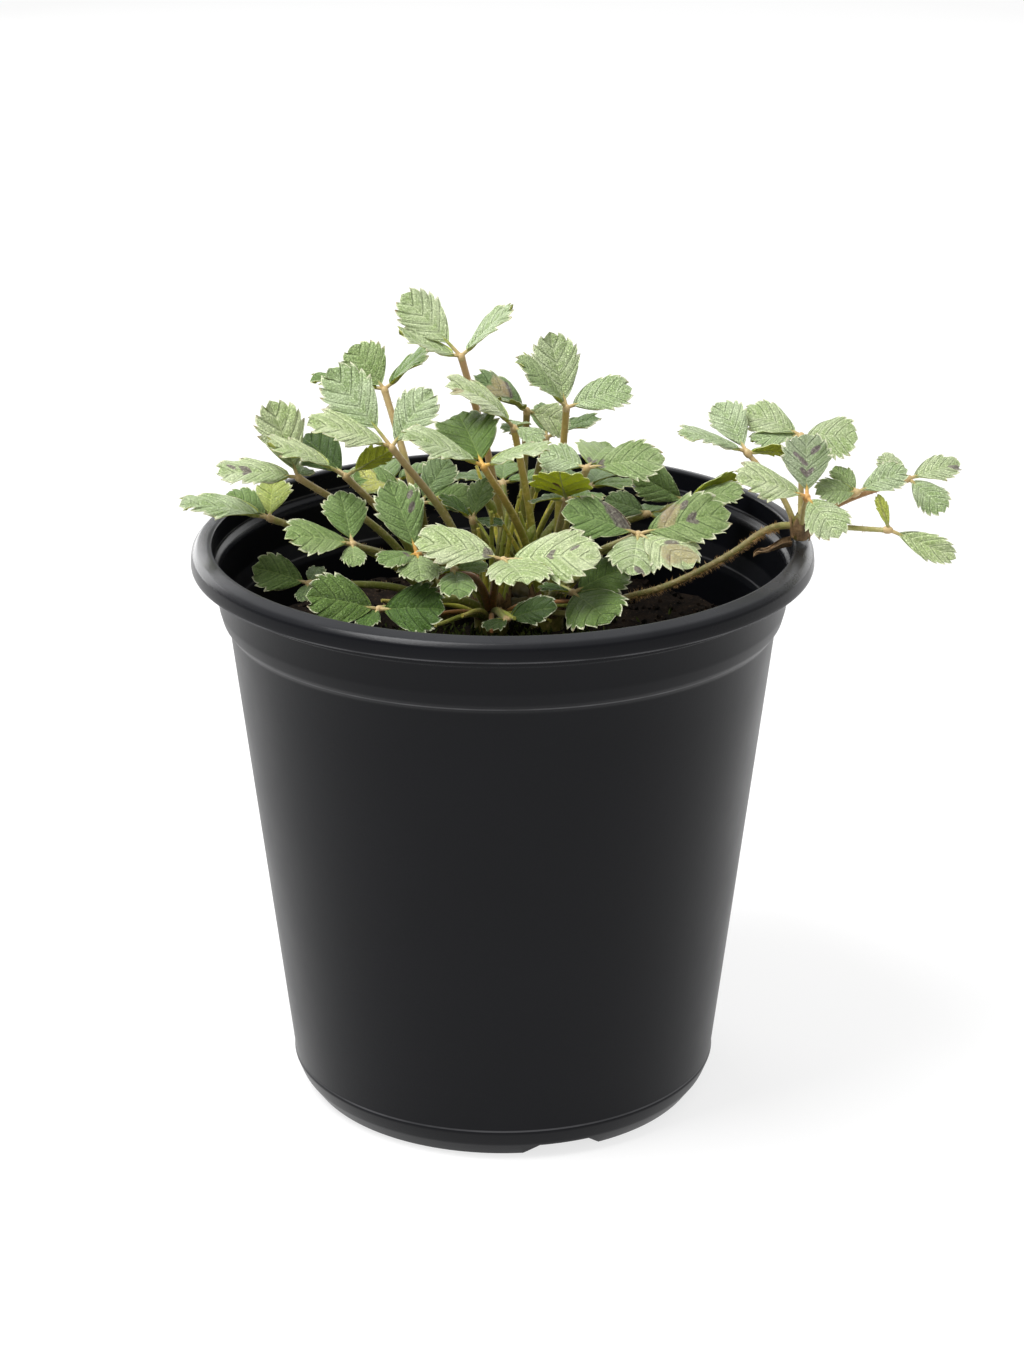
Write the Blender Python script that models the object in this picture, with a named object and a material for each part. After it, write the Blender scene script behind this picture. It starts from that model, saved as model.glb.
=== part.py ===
"""A potted strawberry plant: a black nursery pot filled with soil, a mother plant with its petioles
and toothed three-part leaves, and a hairy runner that carries a daughter plant onto the pot's rim.

The frame has +Z up and its origin at the centre of the pot's foot. The front of the plant faces -Y.
Lengths in this file are millimetres until the meshes are made, and angles are degrees.
"""

import math
from collections import namedtuple

import bmesh
import bpy
from mathutils import Matrix, Vector, noise

MM = 0.001
GAP = 0.35  # clearance between pieces that rest on or in each other

# The pot
RIM_R = 82.5
RIM_TOP = 155.2
RIM_DROP = 5.8  # height of the rim's outer face
MOUTH_R = 76.9
COLLAR_TOP = 146.6
COLLAR_FOOT = 133.0  # where the collar curves back into the body
BODY_R0 = 56.9  # the tapered body's radius, taken down to the floor
BODY_SLOPE = 0.1193  # radius gained per millimetre of height
FOOT_R = 53.5
FOOT_TOP = 8.7
WALL = 1.25
FLOOR_UNDER = 3.0
FLOOR_TOP = 4.5
PAD_R = 18.0  # a flat pad under the middle of the floor
POT_SIDES = 36
NOTCH_COUNT = 3
NOTCH_FIRST = -73.0  # bearing of the notch that shows at the front
NOTCH_HALF_FOOT = 10.8
NOTCH_HALF_TOP = 6.8
NOTCH_HEIGHT = 3.5
NOTCH_REACH = 7.0  # how far the notch's cutter runs on each side of the foot ring
DRAIN_HALF = 5.0
DRAIN_REACH = (10.0, 4.0)  # the drain slot's ends, inward from the foot ring
FILLED_FROM = 12.0  # where the body's taper starts on the inside

# The soil
SOIL_TOP = 122.5
SOIL_MOUND = 2.0
SOIL_LUMP = 1.5
SOIL_RINGS = 5
SOIL_SIDES = 18  # half the pot's, so that flats face flats
LUMP_SIZES = (5.5, 2.6)

# Blades. Lengths in this group are shares of a leaflet's length, unless they say otherwise.
BLADE_THICK = 0.7  # millimetres
BLADE_WIDTH = 0.7
WEDGE = 0.95  # how straight the sides run in to the base
ROUND = 0.55  # how blunt the tip is
TOOTH_START = 0.36  # share of the margin that is smooth, from the base
TOOTH_OUT = 0.022  # how far a tooth stands out
SPINE = (0.38, 0.74)  # points along the midrib
VEIN_SLANT = 0.5  # how far forward a side vein runs for each step outward
NECK_HALF = 0.5  # half width of a leaflet's stalk, in millimetres
KNOB_R = 1.5  # where the leaflets meet, in millimetres
KNOB_LOW = 1.4

# Stems
PETIOLE_FOOT_R = 1.15
PETIOLE_TIP_R = 0.9
PETIOLE_SIDES = 4
PETIOLE_STEPS = 4
DAUGHTER_THIN = 0.72  # a daughter petiole's thickness over the usual thickness
SHOULDER = (0.25, 0.5, 0.08)  # where a petiole starts to lean: share of its reach out, of its rise, and lift
APPROACH = (0.32, 0.24)  # how it comes in to the leaf: share of its reach out and of its rise
RUNNER_R = 0.95

# A crown: where it stands, its radius and its height. Its root plug goes ROOT_DEPTH into the soil.
Crown = namedtuple("Crown", "x y radius height")
ROOT_DEPTH = 9.0
CROWNS = {
    "front": Crown(-3, 12, 4.6, 9),
    "right": Crown(12, 16, 4.4, 9),
    "rear": Crown(3, 34, 4.4, 9),
    "left": Crown(-18, 22, 4.4, 9),
}
CROWN_SEAT = SOIL_TOP + SOIL_MOUND + 1.9  # crowns and rhizomes lie just above the soil's lumps
RHIZOMES = (("left", "front"), ("front", "right"), ("right", "rear"), ("rear", "left"))
RHIZOME_R = 2.6
RHIZOME_LIFT = 0.6
CROWN_SIDES = 8
HOLE_SIDES = 10
RHIZOME_SIDES = 6

# A leaf: the crown it grows from, its hub where the leaflets meet, and its leaflets.
# A leaflet: its length from the hub to its tip, the heading and pitch of that line, its roll about
# the midrib (right-hand rule; 0 keeps the blade level across), the bend along it, how far its sides
# fold up, the share of its length that is bare stalk, and its width over the usual width.
Leaflet = namedtuple("Leaflet", "length heading pitch roll bend cup stalk wide",
                     defaults=(0, -25, 0, 0.1, 1))
Leaf = namedtuple("Leaf", "crown hub teeth leaflets")

LEAVES = {
    "top": Leaf("rear", (-11, 20, 199), 4, (
        Leaflet(22.5, 156, 41, -48, -10, 0, 0.22, 0.95), Leaflet(19, 8, 43, 5, -15),
        Leaflet(19, -160, 26, -8, 10))),
    "top_left": Leaf("left", (-32, 34, 186), 4, (
        Leaflet(14.5, 150, 46, -48, -25, 0, 0.1, 1.4), Leaflet(18.5, 16, 40, -5, -10),
        Leaflet(20, -174, 8, -4))),
    "left_high": Leaf("front", (-29, -4, 181), 4, (
        Leaflet(26, 149, 44, -48, -12, 0, 0.24, 0.95), Leaflet(24, -160, 20, -16), Leaflet(18, 24, 50, 36))),
    "left_far": Leaf("left", (-54, 2, 171), 4, (
        Leaflet(21, 148, 66, -25, -15), Leaflet(22, -160, 7, -12), Leaflet(10, 84, -2, 20))),
    "left_mid": Leaf("left", (-41.5, 3, 171), 4, (
        Leaflet(24, -158, 25, -12, -25, 0, 0.22), Leaflet(19, 130, 19, -30),
        Leaflet(15, -16, 33, -50, -10, 0, 0.22))),
    "left_rim": Leaf("left", (-62, 4, 159), 4, (
        Leaflet(24, -167, 12, -8, -25, 0, 0.1, 0.85), Leaflet(15, 88, 24, -10, -10, 0, 0.1, 1.15),
        Leaflet(14, 150, 20, -20))),
    "pit_left": Leaf("left", (-52, 6, 140), 3, (
        Leaflet(15.5, 172, 14, -48, -25, 0, 0.1, 1.1), Leaflet(8, -100, -20, 0),
        Leaflet(8, 70, 16, 0))),
    "left_near": Leaf("left", (-39, -18, 159), 4, (
        Leaflet(19, -155, 13, -22, -25, 0, 0.1, 1.15), Leaflet(15.5, 108, 42, 0, -25, 0, 0.1, 1.2),
        Leaflet(10, -85, -18, 0))),
    "front_left": Leaf("front", (-32, -32, 146), 4, (
        Leaflet(19.5, -164, 16, -52, -25, 0, 0.1, 1.15), Leaflet(18, -18, 6, 52, -25, 0, 0.1, 1.2),
        Leaflet(10, -112, -12, 0))),
    "mid_left": Leaf("front", (-22, -26, 159), 4, (
        Leaflet(20, 132, 56, -22), Leaflet(12, -142, -2, -12, -25, 0, 0.1, 1.1),
        Leaflet(13, -84, -16, 0, -25, 0, 0.1, 1.3))),
    "front_small": Leaf("front", (-12.5, -33, 157), 3, (
        Leaflet(15, -84, -10, 0, -20), Leaflet(7, 148, -20, -20), Leaflet(9, 20, 0, 20))),
    "front_mid": Leaf("front", (0.2, -34, 160), 4, (
        Leaflet(23, -176, 12, -24, -30), Leaflet(25, -13, 4, 26, -25, 0, 0.1, 1.1),
        Leaflet(19, -72, -3, 0, -30, 0, 0.1, 1.35))),
    "centre": Leaf("right", (-5, -8, 177), 4, (
        Leaflet(24, -159, 24, -14), Leaflet(24, 107, 18, -14, -25, 0, 0.1, 1.1), Leaflet(20, -26, 20, 6))),
    "centre_arch": Leaf("right", (3, 14, 181), 4, (
        Leaflet(24, -158, 34, -20, -45, 0, 0.1, 0.9), Leaflet(10, -40, -12, 20), Leaflet(9, 75, -8, 0))),
    "back_rust": Leaf("rear", (6.6, 34, 180), 3, (
        Leaflet(17, 168, 30, -20), Leaflet(12, -128, 26, 0), Leaflet(13, 14, -22, 50, -10, 0, 0.1, 1.2))),
    "high_right": Leaf("right", (17, 16, 186), 4, (
        Leaflet(20, 124, 66, -12, -12), Leaflet(20, -158, 44, -26),
        Leaflet(18, 8, 14, 32, -25, 0, 0.1, 1.05))),
    "behind_right": Leaf("rear", (12, 42, 170), 3, (
        Leaflet(13, 92, 28, 0), Leaflet(16, 15, 15, 8, -25, 0, 0.1, 0.7), Leaflet(13, -172, 14, -12))),
    "right_big": Leaf("right", (22, -6, 176), 4, (
        Leaflet(13, 158, 10, -34, -15, 0, 0.1, 1.2), Leaflet(20, 0, 5, 34),
        Leaflet(18, 70, 2, 12, -25, 0, 0.1, 1.2))),
    "olive": Leaf("right", (16.7, -12, 169.5), 3, (
        Leaflet(16, -100, 43, 0, 8, 0, 0.1, 1.5), Leaflet(11, 30, -6, 0), Leaflet(11, 150, -14, 0))),
    "scorched": Leaf("right", (35, -22, 163), 4, (
        Leaflet(21, -171, 19, -34), Leaflet(24, 5, 11, 36), Leaflet(17.5, -97, -20, -6, -30, 0, 0.1, 1.2),
        Leaflet(19, -44, -16, 6, -30, 0, 0.1, 1.25))),
    "front_right": Leaf("right", (18, -32, 150.5), 4, (
        Leaflet(16, 28, 14, 30, -25, 0, 0.1, 1.2), Leaflet(18, -60, -9, 20, -25, 0, 0.1, 1.45),
        Leaflet(9, 172, 6, 0))),
    "low_dark": Leaf("front", (1, -12, 136), 3, (
        Leaflet(15, -22, 20, 32), Leaflet(10, -120, 0, 0), Leaflet(12, 30, 10, 16))),
    "back_right": Leaf("rear", (50, 28, 156), 4, (
        Leaflet(16, 165, 27, -78), Leaflet(16, 20, 16, -50), Leaflet(16, -10, 11, 20))),
    "back_grey": Leaf("rear", (39, 14, 157), 3, (
        Leaflet(12, 165, 14, -46), Leaflet(10, 75, -6, 0), Leaflet(10, -20, -14, 0))),
    "yellow_back": Leaf("left", (-26, 21, 161), 3, (
        Leaflet(15, 166, 12, -34), Leaflet(9, 22, 12, 0), Leaflet(9, -160, -20, 0))),
    "mid_grey": Leaf("left", (-22, 14, 160), 3, (
        Leaflet(15, 50, 38, 24), Leaflet(15, -2, 6, 34), Leaflet(9, -120, -8, 0))),
    "centre_low": Leaf("front", (-8, 6, 158), 3, (
        Leaflet(12, 60, 50, 0), Leaflet(11, 160, 30, 0), Leaflet(10, -40, 0, 0))),
    "right_low": Leaf("right", (25.5, -16, 150.5), 3, (
        Leaflet(11, 150, 30, -30), Leaflet(10, -70, -14, 0), Leaflet(9, 20, 4, 0))),
    "rear_left": Leaf("left", (-30, 50, 155), 3, (
        Leaflet(18, 112, 2, 0), Leaflet(16, 175, 4, 0), Leaflet(16, 42, 2, 0))),
    "rear_mid": Leaf("rear", (0, 55, 153), 3, (
        Leaflet(18, 88, 0, 0), Leaflet(14, 165, 2, 0), Leaflet(15, 18, 2, 0))),
    "rear_right": Leaf("rear", (24, 48, 154), 3, (
        Leaflet(18, 70, 0, 0), Leaflet(14, 130, 2, 0), Leaflet(14, 0, 2, 0))),
}

# The daughter plant stands on the rim at the end of the runner.
DAUGHTER = Crown(78.5, -4, 2.6, 7)
DAUGHTER_SEAT = RIM_TOP + GAP
DAUGHTER_LEAVES = {
    "d_left": Leaf("daughter", (64, 0, 178.5), 4, (
        Leaflet(20, -162, 18, -4), Leaflet(18, 114, 30, -26, -25, 0, 0.1, 0.85), Leaflet(11, -8, 0, -42))),
    "d_top": Leaf("daughter", (79, 8, 180.5), 4, (
        Leaflet(17, 160, 16, -30, -35), Leaflet(14, -164, -2, -16, -20),
        Leaflet(14.7, -8, -1, 34, -20, 0, 0.1, 1.5))),
    "d_mid": Leaf("daughter", (79, -14, 170.5), 4, (
        Leaflet(21, -162, 19, -26), Leaflet(18, 88, 46, 0, -20, 0, 0.1, 1.1),
        Leaflet(16, -60, -26, 20, -25, 0, 0.1, 1.15))),
    "d_right": Leaf("daughter", (93, -5, 169), 4, (
        Leaflet(13, -152, 6, -36), Leaflet(10, 130, 26, -10), Leaflet(14, 0, 24, 38))),
    "d_far": Leaf("daughter", (107.7, 6, 169.3), 4, (
        Leaflet(14, 8, 13, 26), Leaflet(10, 152, 28, -26), Leaflet(14, -46, -28, 30))),
    "d_low": Leaf("daughter", (101.5, -8, 159.5), 4, (
        Leaflet(18.5, -14, -20, 60, -15, 0, 0.12, 0.62), Leaflet(10, 172, 70, 80, -10, 0, 0.1, 0.5))),
}
RUNNER_ROUTE = ((12, 14, 129), (19, 7, 131), (25, 1, 135.5), (33, -6, 140.2), (42, -9, 143.9),
                (52, -9, 148.6), (61, -7, 153.2), (68, -5, 157.7), (73, -4.2, 159.4), (78, -4, 159.4))
RUNNER_SIDES = 5
BRACT_ROUTE = ((76.1, -5.2, 155), (71.5, -7.8, 154.1), (68, -9.2, 153.2), (65.8, -9.8, 151.6))
BRACT_HALF = 2.4
BRACT_THICK = 0.7
BRACT_ARC = (200, 245, 290, 340)  # bearings round the sheath's length, open at the top

SMOOTH_ANGLE = 40.0  # edges sharper than this stay crisp when a piece is shaded


def material(name, colour, roughness):
    made = bpy.data.materials.new(name)
    made.use_nodes = True
    shader = made.node_tree.nodes["Principled BSDF"]
    shader.inputs["Base Color"].default_value = (*colour, 1)
    shader.inputs["Roughness"].default_value = roughness
    return made


def add_object(name, bm, finish):
    """Makes an object from a bmesh in millimetres and frees the bmesh."""
    bmesh.ops.scale(bm, vec=(MM, MM, MM), verts=bm.verts)
    mesh = bpy.data.meshes.new(name)
    bm.to_mesh(mesh)
    bm.free()
    mesh.materials.append(finish)
    made = bpy.data.objects.new(name, mesh)
    bpy.context.scene.collection.objects.link(made)
    return made


def apply_modifiers(made):
    graph = bpy.context.evaluated_depsgraph_get()
    fused = bpy.data.meshes.new_from_object(made.evaluated_get(graph))
    made.modifiers.clear()
    made.data = fused


def fuse(made, others, solver="EXACT"):
    """Joins the other objects to this one with one Boolean union, and removes them."""
    group = bpy.data.collections.new(made.name + "_parts")
    bpy.context.scene.collection.children.link(group)
    for other in others:
        group.objects.link(other)
        bpy.context.scene.collection.objects.unlink(other)
    union = made.modifiers.new("fuse", "BOOLEAN")
    union.operation = "UNION"
    union.operand_type = "COLLECTION"
    union.collection = group
    union.solver = solver
    apply_modifiers(made)
    for other in others:
        bpy.data.objects.remove(other)
    bpy.data.collections.remove(group)
    drop_scraps(made)
    return made


def drop_scraps(made):
    """Keeps the largest joined-up body of the mesh. A union can leave a sliver loose where edges cross."""
    bm = bmesh.new()
    bm.from_mesh(made.data)
    left, bodies = set(bm.verts), []
    while left:
        body, edge = set(), {left.pop()}
        while edge:
            body |= edge
            edge = {e.other_vert(v) for v in edge for e in v.link_edges} - body
        left -= body
        bodies.append(body)
    bodies.sort(key=len)
    for body in bodies[:-1]:
        bmesh.ops.delete(bm, geom=list(body), context="VERTS")
    bm.to_mesh(made.data)
    bm.free()


def cut(made, cutters):
    """Takes each cutter out of the object, and removes the cutters."""
    for cutter in cutters:
        taken = made.modifiers.new("cut", "BOOLEAN")
        taken.operation = "DIFFERENCE"
        taken.object = cutter
    apply_modifiers(made)
    for cutter in cutters:
        bpy.data.objects.remove(cutter)
    return made


def turned(profile, sides):
    """A bmesh turned round Z from a profile of (radius, height) that starts and ends on the axis."""
    bm = bmesh.new()
    rings = []
    for radius, height in profile:
        if radius == 0:
            rings.append([bm.verts.new((0, 0, height))])
            continue
        turns = (2 * math.pi * i / sides for i in range(sides))
        rings.append([bm.verts.new((radius * math.cos(a), radius * math.sin(a), height)) for a in turns])
    for low, high in zip(rings, rings[1:]):
        for i in range(sides):
            j = (i + 1) % sides
            corners = [low[i % len(low)], low[j % len(low)], high[j % len(high)], high[i % len(high)]]
            bm.faces.new(list(dict.fromkeys(corners)))
    bmesh.ops.recalc_face_normals(bm, faces=bm.faces)
    return bm


def body_r(height):
    return BODY_R0 + BODY_SLOPE * height


def outer_profile():
    """From the foot's contact ring up the outside and over the rim to its inner edge."""
    rim_foot = RIM_TOP - RIM_DROP
    collar_r = MOUTH_R - 0.8
    return [
        (FOOT_R, 0),
        (FOOT_R + 3.1, 4.2),
        (body_r(FOOT_TOP), FOOT_TOP),
        (body_r(COLLAR_FOOT), COLLAR_FOOT),
        (collar_r - 1.6, COLLAR_FOOT + 2.3),
        (collar_r - 0.7, COLLAR_FOOT + 5.6),
        (collar_r, COLLAR_TOP - 0.2),
        (MOUTH_R + 0.9, COLLAR_TOP + 0.2),
        (MOUTH_R + 0.9, rim_foot + 3.2),
        (RIM_R - 1.4, rim_foot + 3.2),
        (RIM_R - 1.3, rim_foot),
        (RIM_R - 0.1, rim_foot),
        (RIM_R, rim_foot + 1.0),
        (RIM_R - 0.3, RIM_TOP - 2.2),
        (RIM_R - 1.5, RIM_TOP - 0.8),
        (MOUTH_R + 0.8, RIM_TOP),
        (MOUTH_R, RIM_TOP - 0.4),
    ]


def inner_profile():
    """From the rim's inner edge down the inside to the floor."""
    collar_inner = MOUTH_R - 0.8 - WALL
    return [
        (MOUTH_R - 0.3, COLLAR_TOP + 2.6),
        (MOUTH_R - 1.5, COLLAR_TOP + 1.4),
        (collar_inner, COLLAR_TOP),
        (collar_inner - 0.7, COLLAR_FOOT + 5.6),
        (body_r(COLLAR_FOOT) - WALL, COLLAR_FOOT - 0.6),
        (body_r(FILLED_FROM) - WALL, FILLED_FROM),
        (FOOT_R - 1.8, FLOOR_TOP),
    ]


def make_pot(finish):
    under = [(0, 0), (PAD_R, 0), (PAD_R + 1.5, FLOOR_UNDER), (FOOT_R - 2.6, FLOOR_UNDER), (FOOT_R - 1.7, 0)]
    profile = under + outer_profile() + inner_profile() + [(0, FLOOR_TOP)]
    pot = add_object("pot", turned(profile, POT_SIDES), finish)
    cutters = []
    for i in range(NOTCH_COUNT):
        bearing = math.radians(NOTCH_FIRST + i * 360 / NOTCH_COUNT)
        cutters += [drain_notch(bearing), drain_hole(bearing)]
    return cut(pot, cutters)


def prism(name, corners, near, far, bearing):
    """Corners (across, up) run out along the bearing from the near to the far radius."""
    bm = bmesh.new()
    ends = [[bm.verts.new((r, across, up)) for across, up in corners] for r in (near, far)]
    bm.faces.new(ends[0][::-1])
    bm.faces.new(ends[1])
    for i in range(len(corners)):
        j = (i + 1) % len(corners)
        bm.faces.new((ends[0][i], ends[0][j], ends[1][j], ends[1][i]))
    bmesh.ops.rotate(bm, cent=(0, 0, 0), matrix=Matrix.Rotation(bearing, 3, "Z"), verts=bm.verts)
    bmesh.ops.recalc_face_normals(bm, faces=bm.faces)
    return add_object(name, bm, None)


def drain_notch(bearing):
    """The bevelled notch in the foot ring, its sides carried on below the floor line."""
    flare = (NOTCH_HALF_FOOT - NOTCH_HALF_TOP) / NOTCH_HEIGHT
    corners = [
        (-NOTCH_HALF_FOOT - flare, -1),
        (NOTCH_HALF_FOOT + flare, -1),
        (NOTCH_HALF_TOP, NOTCH_HEIGHT),
        (-NOTCH_HALF_TOP, NOTCH_HEIGHT),
    ]
    return prism("notch_cutter", corners, FOOT_R - NOTCH_REACH, FOOT_R + NOTCH_REACH, bearing)


def drain_hole(bearing):
    """A slot up through the floor behind each notch."""
    low, high = -1, FLOOR_TOP + 1.2
    corners = [(-DRAIN_HALF, low), (DRAIN_HALF, low), (DRAIN_HALF, high), (-DRAIN_HALF, high)]
    far, near = DRAIN_REACH
    return prism("drain_cutter", corners, FOOT_R - far, FOOT_R - near, bearing)


def soil_height(x, y):
    reach = math.hypot(x, y) / MOUTH_R
    large, small = LUMP_SIZES
    lumps = noise.noise(Vector((x, y, 7)) / large) + 0.5 * noise.noise(Vector((x, y, 3)) / small)
    return SOIL_TOP + SOIL_MOUND * (1 - reach * reach) + SOIL_LUMP * lumps


def make_soil(finish):
    """The soil fills the pot up to a lumpy top, and has a plain hole for each crown's root plug."""
    rim_r = body_r(SOIL_TOP) - WALL - GAP
    sides = [(FOOT_R - 2.4, FLOOR_TOP + GAP), (body_r(FILLED_FROM) - WALL - GAP, FILLED_FROM + 0.3)]
    bm = turned([(0, FLOOR_TOP + GAP)] + sides + [(rim_r, SOIL_TOP - 3)], SOIL_SIDES)
    edge = [v for v in bm.verts if v.co.z > SOIL_TOP - 4]
    ring = sorted(edge, key=lambda v: math.atan2(v.co.y, v.co.x))
    for step in range(SOIL_RINGS):
        radius = (rim_r - 0.4) * (1 - step / SOIL_RINGS)
        inner = []
        for v in ring:
            a = math.atan2(v.co.y, v.co.x)
            x, y = radius * math.cos(a), radius * math.sin(a)
            inner.append(bm.verts.new((x, y, soil_height(x, y))))
        join_rings(bm, ring, inner)
        ring = inner
    centre = bm.verts.new((0, 0, soil_height(0, 0)))
    for i in range(len(ring)):
        bm.faces.new((ring[i], ring[(i + 1) % len(ring)], centre))
    bmesh.ops.triangulate(bm, faces=bm.faces)
    bmesh.ops.recalc_face_normals(bm, faces=bm.faces)
    soil = add_object("soil", bm, finish)
    holes = []
    for crown in CROWNS.values():
        hole_r = crown.radius + GAP
        low, high = CROWN_SEAT - ROOT_DEPTH - GAP, CROWN_SEAT + crown.height
        hole = turned([(0, low), (hole_r, low), (hole_r, high), (0, high)], HOLE_SIDES)
        bmesh.ops.translate(hole, vec=(crown.x, crown.y, 0), verts=hole.verts)
        holes.append(add_object("hole_cutter", hole, None))
    return cut(soil, holes)


def join_rings(bm, first, second):
    for i in range(len(first)):
        j = (i + 1) % len(first)
        bm.faces.new((first[i], first[j], second[j], second[i]))


def bezier(a, b, c, d, t):
    s = 1 - t
    return a * s**3 + b * 3 * s * s * t + c * 3 * s * t * t + d * t**3


def smooth_route(points, per_leg=3):
    """A Catmull-Rom curve through the points."""
    points = [Vector(p) for p in points]
    ends = [points[0] * 2 - points[1], *points, points[-1] * 2 - points[-2]]
    route = []
    for a, b, c, d in zip(ends, ends[1:], ends[2:], ends[3:]):
        for i in range(per_leg):
            t = i / per_leg
            route.append(0.5 * (b * 2 + (c - a) * t + (a * 2 - b * 5 + c * 4 - d) * t * t
                                + (b * 3 - a - c * 3 + d) * t**3))
    return route + [points[-1]]


def tube(route, radii, sides):
    """A closed tube along the route, with the same frame carried from ring to ring."""
    bm = bmesh.new()
    rings = []
    side = (route[1] - route[0]).orthogonal().normalized()
    for i, (at, radius) in enumerate(zip(route, radii)):
        along = (route[min(i + 1, len(route) - 1)] - route[max(i - 1, 0)]).normalized()
        side = (side - along * side.dot(along)).normalized()
        other = along.cross(side)
        turns = (2 * math.pi * k / sides for k in range(sides))
        rings.append([bm.verts.new(at + radius * (side * math.cos(a) + other * math.sin(a))) for a in turns])
    for first, second in zip(rings, rings[1:]):
        join_rings(bm, first, second)
    bm.faces.new(rings[0])
    bm.faces.new(rings[-1])
    bmesh.ops.recalc_face_normals(bm, faces=bm.faces)
    return bm


def facing(heading, pitch):
    h, p = math.radians(heading), math.radians(pitch)
    return Vector((math.cos(p) * math.cos(h), math.cos(p) * math.sin(h), math.sin(p)))


def petiole_route(foot, hub, steps=PETIOLE_STEPS):
    """Rises steeply from the crown, then leans out to the leaf. It stops just short of the leaf's knob."""
    reach = hub - foot
    flat = Vector((reach.x, reach.y, 0))
    out, rise, lift = SHOULDER
    shoulder = foot + flat * out + Vector((0, 0, rise * reach.z + lift * flat.length))
    approach = hub - flat * APPROACH[0] - Vector((0, 0, APPROACH[1] * reach.z))
    end = hub - (hub - approach).normalized() * (KNOB_LOW + GAP)
    return [bezier(foot, shoulder, approach, end, i / steps) for i in range(steps + 1)]


def petiole(foot, hub, thick=1.0):
    route = petiole_route(foot, hub)
    slope = (PETIOLE_TIP_R - PETIOLE_FOOT_R) / PETIOLE_STEPS
    radii = [thick * (PETIOLE_FOOT_R + slope * i) for i in range(PETIOLE_STEPS + 1)]
    return add_object("petiole", tube(route, radii, PETIOLE_SIDES), None)


def petiole_foot(leaf):
    """A petiole leaves its crown on the side that faces its leaf."""
    crown = CROWNS.get(leaf.crown, DAUGHTER)
    away = Vector((leaf.hub[0] - crown.x, leaf.hub[1] - crown.y, 0)).normalized()
    base = DAUGHTER_SEAT if crown is DAUGHTER else CROWN_SEAT
    return Vector((crown.x, crown.y, base + crown.height * 0.35)) + away * crown.radius * 0.45


def make_crowns(finish):
    """The mother plant's crowns, the rhizomes between them and its petioles, grown as one piece."""
    parts = []
    for crown in CROWNS.values():
        low, high = CROWN_SEAT - ROOT_DEPTH, CROWN_SEAT + crown.height
        shape = [(0, low), (crown.radius * 0.8, low), (crown.radius, low + 3), (crown.radius, high - 5),
                 (crown.radius * 0.6, high), (0, high + 0.6)]
        stump = turned(shape, CROWN_SIDES)
        bmesh.ops.translate(stump, vec=(crown.x, crown.y, 0), verts=stump.verts)
        parts.append(add_object("crown", stump, finish))
    for first, second in RHIZOMES:
        a, b = CROWNS[first], CROWNS[second]
        level = CROWN_SEAT + RHIZOME_R + RHIZOME_LIFT
        route = [Vector((a.x, a.y, level)), Vector(((a.x + b.x) / 2, (a.y + b.y) / 2, level + 1)),
                 Vector((b.x, b.y, level))]
        parts.append(add_object("rhizome", tube(route, [RHIZOME_R] * 3, RHIZOME_SIDES), finish))
    parts += [petiole(petiole_foot(leaf), Vector(leaf.hub)) for leaf in LEAVES.values()]
    parts.append(runner_stub(runner_route()[:5]))
    plant = parts.pop(0)
    plant.name = plant.data.name = "crown_petioles"
    return fuse(plant, parts)


def make_daughter(finish):
    crown = DAUGHTER
    shape = [(0, 0), (crown.radius * 0.8, 0), (crown.radius, 2), (crown.radius * 0.9, crown.height - 2),
             (crown.radius * 0.5, crown.height), (0, crown.height)]
    stump = turned(shape, CROWN_SIDES)
    bmesh.ops.translate(stump, vec=(crown.x, crown.y, DAUGHTER_SEAT), verts=stump.verts)
    plant = add_object("daughter_petioles", stump, finish)
    leaves = DAUGHTER_LEAVES.values()
    parts = [petiole(petiole_foot(leaf), Vector(leaf.hub), DAUGHTER_THIN) for leaf in leaves]
    return fuse(plant, parts + [runner_stub(runner_route()[-3:])])


def runner_route():
    return smooth_route(RUNNER_ROUTE, 2)


def runner_stub(route):
    """The runner's first or last piece, which belongs to the crown it comes from."""
    return add_object("runner_stub", tube(route, [RUNNER_R] * len(route), RUNNER_SIDES), None)


def make_runner(finish):
    """The rest of the runner. It starts and ends just clear of the stubs."""
    route = runner_route()[4:-2]
    route[0] += (route[1] - route[0]).normalized() * GAP
    route[-1] += (route[-2] - route[-1]).normalized() * GAP
    return add_object("runner", tube(route, [RUNNER_R] * len(route), RUNNER_SIDES), finish)


def margin(m):
    """The smooth margin at share m of its length: (along, across)."""
    along = 1 - (1 - m) ** 1.5
    widest = WEDGE / (WEDGE + ROUND)
    peak = widest**WEDGE * (1 - widest) ** ROUND
    return along, BLADE_WIDTH / 2 * along**WEDGE * (1 - along) ** ROUND / peak


def toothed(m, push):
    """The margin at m, pushed outward and a little forward."""
    along, across = margin(m)
    ahead, behind = margin(min(m + 0.01, 1)), margin(m - 0.01)
    tangent = Vector((ahead[0] - behind[0], ahead[1] - behind[1])).normalized()
    return along + push * (0.5 * tangent.x - tangent.y), across + push * (tangent.x + 0.5 * tangent.y)


def half_outline(teeth):
    """One side of a leaflet from its base to its last notch, as (along, across)."""
    points = []
    span = (1 - TOOTH_START) / (teeth + 0.55)
    for k in range(teeth + 1):
        notch = TOOTH_START + k * span
        points.append(toothed(notch, -0.8 * TOOTH_OUT if k else 0))
        if k < teeth:
            points.append(toothed(notch + 0.66 * span, TOOTH_OUT))
    return points


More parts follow.
